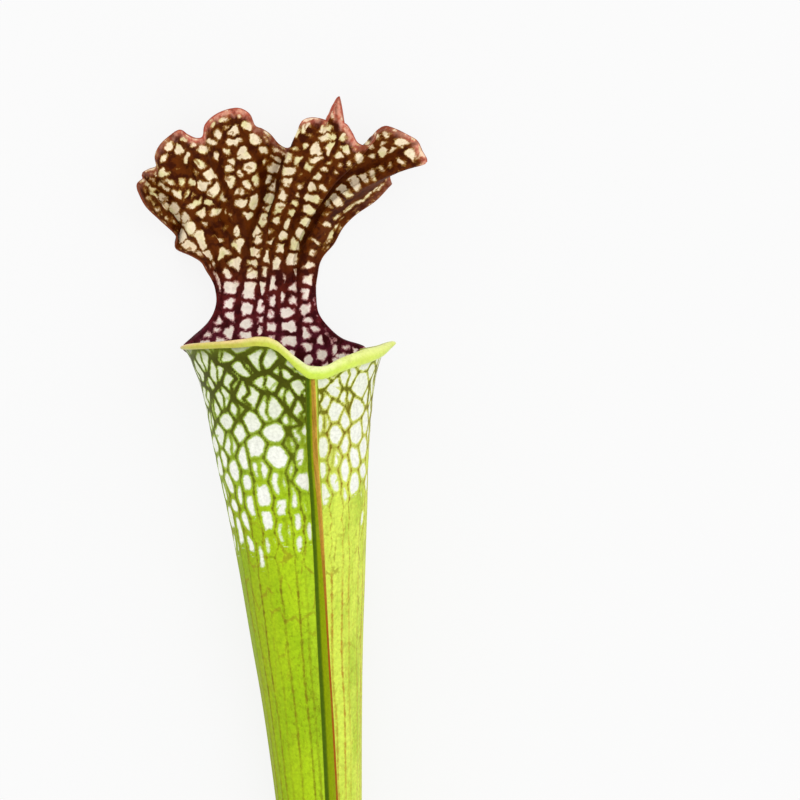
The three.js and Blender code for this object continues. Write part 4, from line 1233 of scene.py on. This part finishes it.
def tube_colour(n):
    """Green leaf, darker olive towards its left side partly as painted shade, with a white-windowed net near
    the mouth, brown lines down its length, painted shade in the groove on the left of the wing and under
    the lip, and a rust-coloured edge on the wing."""
    depth, turn, net, strand, fine, white, wing, wing_side, inside, cut, line, line_strength = n.attributes(
        "depth turn net strand fine white wing wing_side inside cut line line_strength")

    leaf = n.ramp(n.arith("ADD", n.arith("DIVIDE", turn, 360), 0.5), LEAF_STOPS)
    cloudy = n.noise(150, 4, 0.6, (1, 0.3, 1))
    leaf = n.blend(n.rise(cloudy, 0.42, 0.66, 0, 0.5), leaf, (132, 172, 8))
    leaf = n.blend(n.rise(depth, 120, 270, 0, 0.35), leaf, (158, 176, 66))
    right = n.times(n.rise(turn, -1, 4), n.fall(turn, *RIGHT_ENDS))
    turned = n.arith("ABSOLUTE", turn)
    back = n.rise(turned, 100, 150)
    flecks = n.rise(n.noise(1700, 4, 0.75, (1, 0.45, 1)), 0.52, 0.66)
    flecks = n.times(flecks, n.rise(cloudy, 0.4, 0.6, 0.3, 0.7))
    leaf = n.blend(flecks, leaf, n.blend(right, (128, 140, 10), (182, 172, 56)))
    cells = {"Vector": n.where((1, 0.36, 1)), "Scale": 320}
    side_veins = n.place("ShaderNodeTexVoronoi", cells, feature="DISTANCE_TO_EDGE").outputs["Distance"]
    side_veins = n.fall(n.shaken(side_veins, 0.12, 1500), 0.015, 0.06, 0.5)
    at_net_end = n.times(n.rise(depth, 30, 42), n.fall(depth, 48, 74, 1, 0.25))
    side_veins = n.times(side_veins, n.rise(n.noise(300, 2), 0.46, 0.58), at_net_end)
    leaf = n.blend(side_veins, leaf, (146, 118, 26))

    vein_left = n.blend(n.rise(depth, 4, 30), (66, 68, 0), (98, 108, 4))
    vein_right = n.blend(n.rise(depth, 2, 30), (106, 106, 10), (152, 122, 28))
    vein = n.blend(right, vein_left, vein_right)
    vein = n.blend(n.times(back, n.fall(depth, 1, 14)), vein, (92, 50, 30))
    on_strand = n.fall(strand, -0.05, 0.2)
    rung = n.blend(n.rise(depth, 8, 30, 0, 0.85), vein, leaf)
    vein = n.blend(on_strand, rung, vein)
    line_colour = n.blend(right, (124, 112, 12), (178, 136, 44))
    vein = n.blend(n.times(on_strand, n.rise(depth, 26, 40)), vein, line_colour)
    fringe = n.blend(right, (152, 176, 62), (200, 206, 96))
    near_mouth = n.times(n.fall(depth, 6, 24), n.fall(right, 0, 1, 1, 0.3))
    coloured = n.group(WINDOWS, {
        "Distance": net, "Fine distance": fine, "Fray": 0.19, "Vein edge": n.fall(depth, 14, 44, -0.06, -0.1),
        "Window edge": n.rise(depth, 4, 42, 0.14, 0.5), "Softness": n.rise(depth, 6, 30, 0.14, 0.24),
        "Vein": vein, "Vein dark": n.blend(0.3, vein, (78, 84, 4)),
        "Fringe": n.blend(n.rise(depth, 16, 34), fringe, leaf),
        "Window": n.blend(white, leaf, n.blend(near_mouth, (236, 237, 227), (217, 222, 196))),
    })
    past_net = n.rise(depth, 42, 48)
    colour = n.blend(past_net, coloured["Color"], leaf)
    line = n.fall(n.shaken(line, 0.7, 1000, 3, 0.6), 0.02, 0.4)
    broken = n.rise(n.noise(1300, 3, 0.6, (1, 0.5, 1)), 0.4, 0.54, 0.5)
    line = n.times(line, broken, line_strength, past_net, 0.95)
    lower_line = n.blend(right, (140, 138, 16), (184, 158, 50))
    colour = n.blend(line, colour, n.blend(n.rise(depth, 60, 120), line_colour, lower_line))

    # The wing's left face is darker olive than its right: partly painted shade of the face turned from the
    # light.
    wing_leaf = n.blend(n.rise(wing_side, -0.1, 0.1), (146, 164, 6), (206, 224, 80))
    colour = n.blend(n.rise(wing, 0, 0.08), colour, wing_leaf)
    # Painted shade in the groove where the wing's left face meets the tube: a dark green line along its foot.
    furrow_shade = n.times(n.rise(wing, 0, 0.03), n.fall(wing, 0.08, 0.3), n.fall(wing_side, -0.6, -0.3), 0.95)
    colour = n.blend(furrow_shade, colour, (68, 94, 0))
    rust = n.blend(n.rise(depth, 26, 60), (200, 146, 60), (158, 66, 16))
    rust = n.blend(n.rise(n.noise(900, 3, 0.6, (1, 0.1, 1)), 0.48, 0.6, 0, 0.6), rust, (150, 96, 24))
    edge = n.rise(wing, n.rise(depth, 20, 60, 0.3, 0.9), n.rise(depth, 20, 60, 0.5, 0.99))
    edge = n.times(edge, n.fall(wing_side, 0.05, 0.16, 1, 0.15), 0.9)
    colour = n.blend(edge, colour, rust)

    # Painted shadow under the lip, with the darker veins there: a dark olive strip just below the rim,
    # fainter at the back.
    lip_shadow_and_veins = n.times(n.fall(depth, 0.4, 3.2), n.fall(back, 0, 1, 0.75))
    colour = n.blend(lip_shadow_and_veins, colour, n.blend(right, (92, 104, 10), (164, 180, 50)))
    colour = n.blend(n.times(inside, 0.4), colour, (222, 230, 160))
    round_column = n.times(inside, n.fall(depth, 6, 26), n.rise(turned, 82, 112))
    stain = n.blend(coloured["Window mask"], COLUMN_VEIN, (246, 232, 218))
    colour = n.blend(round_column, colour, stain)
    return n.blend(n.rise(cut, 0.005, 0.02), colour, n.ramp(n.arith("SUBTRACT", cut, CUT_MARK), CUT_STOPS))


def lip_colour(n):
    """Yellow-green, peach along the top of the left half and at the tip; paler over the top of the roll as a
    painted highlight, and darker underneath, with painted shade towards the left end.
    """
    turn, upper = n.attributes("turn upper")
    around = n.arith("DIVIDE", n.arith("ADD", turn, LIP_END_DEG), 2 * LIP_END_DEG)
    colour = n.blend(n.rise(upper, -0.35, 0.75), n.ramp(around, LIP_SHADED_LOW_STOPS), n.ramp(around, LIP_LIT_TOP_STOPS))
    edge = n.times(n.rise(upper, 0.72, 0.98), n.fall(turn, -40, -15), 0.55)
    colour = n.blend(edge, colour, (226, 160, 110))
    colour = n.blend(n.rise(n.noise(420), 0.45, 0.65, 0, 0.3), colour, (200, 206, 90))
    streak = n.blend(n.rise(turn, -20, 0), (176, 150, 50), (180, 208, 50))
    return n.blend(n.rise(n.noise(1300, 4, 0.65), 0.5, 0.68, 0, 0.3), colour, streak)


def hood_colour(n):
    """Brown net over cream windows, darker and redder down the column, with a salmon margin in places."""
    height, net, main, fine, margin, salmon = n.attributes("height net main fine margin salmon")
    level_here = n.shaken(height, 12, 160)
    up = n.rise(level_here, 7, 20)
    vein = n.blend(up, (94, 22, 24), (96, 42, 2))
    vein = n.blend(n.fall(level_here, -1, 8), vein, COLUMN_VEIN)
    vein_dark = n.blend(up, (60, 6, 12), (62, 18, 0))
    window = n.blend(n.rise(n.noise(240), 0.46, 0.64, 0, 0.7), (252, 234, 202), (230, 224, 158))
    coloured = n.group(WINDOWS, {
        "Distance": net, "Fine distance": fine, "Fray": 0.22, "Vein edge": -0.05, "Window edge": 0.1,
        "Softness": 0.13, "Vein": vein, "Vein dark": vein_dark,
        "Fringe": n.blend(up, (196, 136, 140), (156, 110, 44)),
        "Window": n.blend(up, (255, 242, 234), window),
    })
    colour = n.blend(n.fall(main, -0.65, -0.2, 0.5), coloured["Color"], vein_dark)
    band = n.times(n.fall(n.shaken(margin, 3.2, 700, 4, 0.6), 0.3, 2.4, 0.9), salmon)
    band = n.times(band, n.fall(coloured["Window mask"], 0, 1, 1, 0.45), n.rise(main, -0.4, 0.1, 0.4))
    flesh = n.blend(n.rise(n.noise(900, 3, 0.6), 0.4, 0.62), (206, 108, 88), (238, 168, 144))
    rim = n.blend(salmon, (124, 66, 40), (158, 70, 54))
    return n.blend(n.fall(margin, 0.06, 0.22, 0.85), n.blend(band, colour, flesh), rim)


def new_material(name):
    """A material, its nodes and the inputs of its Principled shader."""
    material = bpy.data.materials.new(name)
    material.use_nodes = True
    return material, Nodes(material.node_tree), material.node_tree.nodes["Principled BSDF"].inputs


def leaf_material(name, colour_of, roughness, shine, tone, bump):
    """A material with the skin's grain over the colour that a function gives."""
    material, n, shader = new_material(name)
    skin = n.group(SKIN, {"Tone": tone})
    toned = n.place("ShaderNodeVectorMath", {0: colour_of(n), "Scale": skin["Tone"]}, operation="SCALE")
    relief = {"Height": skin["Height"], "Strength": bump, "Distance": SKIN_DEPTH * MM}
    n.fill(shader["Base Color"], toned.outputs["Vector"])
    n.fill(shader["Normal"], n.place("ShaderNodeBump", relief).outputs["Normal"])
    shader["Roughness"].default_value = roughness
    shader["Specular IOR Level"].default_value = shine
    return material


def build_floor():
    """A pale table, lit a little from within as a light table is, so that shadows on it stay faint."""
    corners = FLOOR_HALF / MM * np.array([[-1, -1, 0], [1, -1, 0], [1, 1, 0], [-1, 1, 0]])
    floor = make_mesh("floor", corners, [[0, 1, 2, 3]], {})
    material, n, shader = new_material("Pale table")
    tint = n.rise(n.noise(6, 2), 0.3, 0.7)
    n.fill(shader["Base Color"], n.blend(tint, *((grey, grey, grey, 1) for grey in FLOOR_GREYS)))
    shader["Roughness"].default_value = 0.9
    shader["Specular IOR Level"].default_value = 0.0
    shader["Emission Color"].default_value = (1, 1, 1, 1)
    shader["Emission Strength"].default_value = FLOOR_GLOW
    floor.data.materials.append(material)


def build_camera():
    """Straight above, far off, with PIXEL on the leaf for each of the picture's pixels."""
    camera = bpy.data.cameras.new("camera")
    camera.lens = FOCAL_LENGTH
    camera.sensor_width = SENSOR
    camera.clip_start = 0.05
    camera.clip_end = 50
    placed = add_object("camera", camera)
    away = PICTURE_WIDTH * PIXEL * FOCAL_LENGTH / SENSOR
    placed.location = (VIEW_MIDDLE[0] * MM, VIEW_MIDDLE[1] * MM, (away + FOCUS_HEIGHT) * MM)
    bpy.context.scene.camera = placed


def build_light():
    """An even white dome, with one broad soft lamp above on the right that faces the leaf."""
    world = bpy.data.worlds.new("dome")
    world.use_nodes = True
    world.node_tree.nodes["Background"].inputs["Color"].default_value = (1, 1, 1, 1)
    world.node_tree.nodes["Background"].inputs["Strength"].default_value = DOME_STRENGTH
    bpy.context.scene.world = world
    lamp = bpy.data.lights.new("softbox", "AREA")
    lamp.size = LAMP_SIZE
    lamp.energy = LAMP_ENERGY
    placed = add_object("softbox", lamp)
    placed.location = LAMP_AT
    x, y, z = LAMP_AT
    placed.rotation_euler = (math.atan2(math.hypot(x, y), z), 0, math.atan2(-y, -x) - math.pi / 2)


def main():
    build_camera()
    build_light()
    build_floor()
    for build, *looks in (
        (build_tube, "Netted tube", tube_colour, 0.5, 0.08, 0.16, 0.2),
        (build_lip, "Rolled lip", lip_colour, 0.36, 0.32, 0.08, 0.16),
        (build_hood, "Netted hood", hood_colour, 0.55, 0.05, 0.14, 0.25),
    ):
        piece = build()
        piece.data.materials.append(leaf_material(*looks))
        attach(piece, "root")
        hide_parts("pitcher")
    bpy.context.scene.view_settings.view_transform = "Standard"
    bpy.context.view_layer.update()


main()
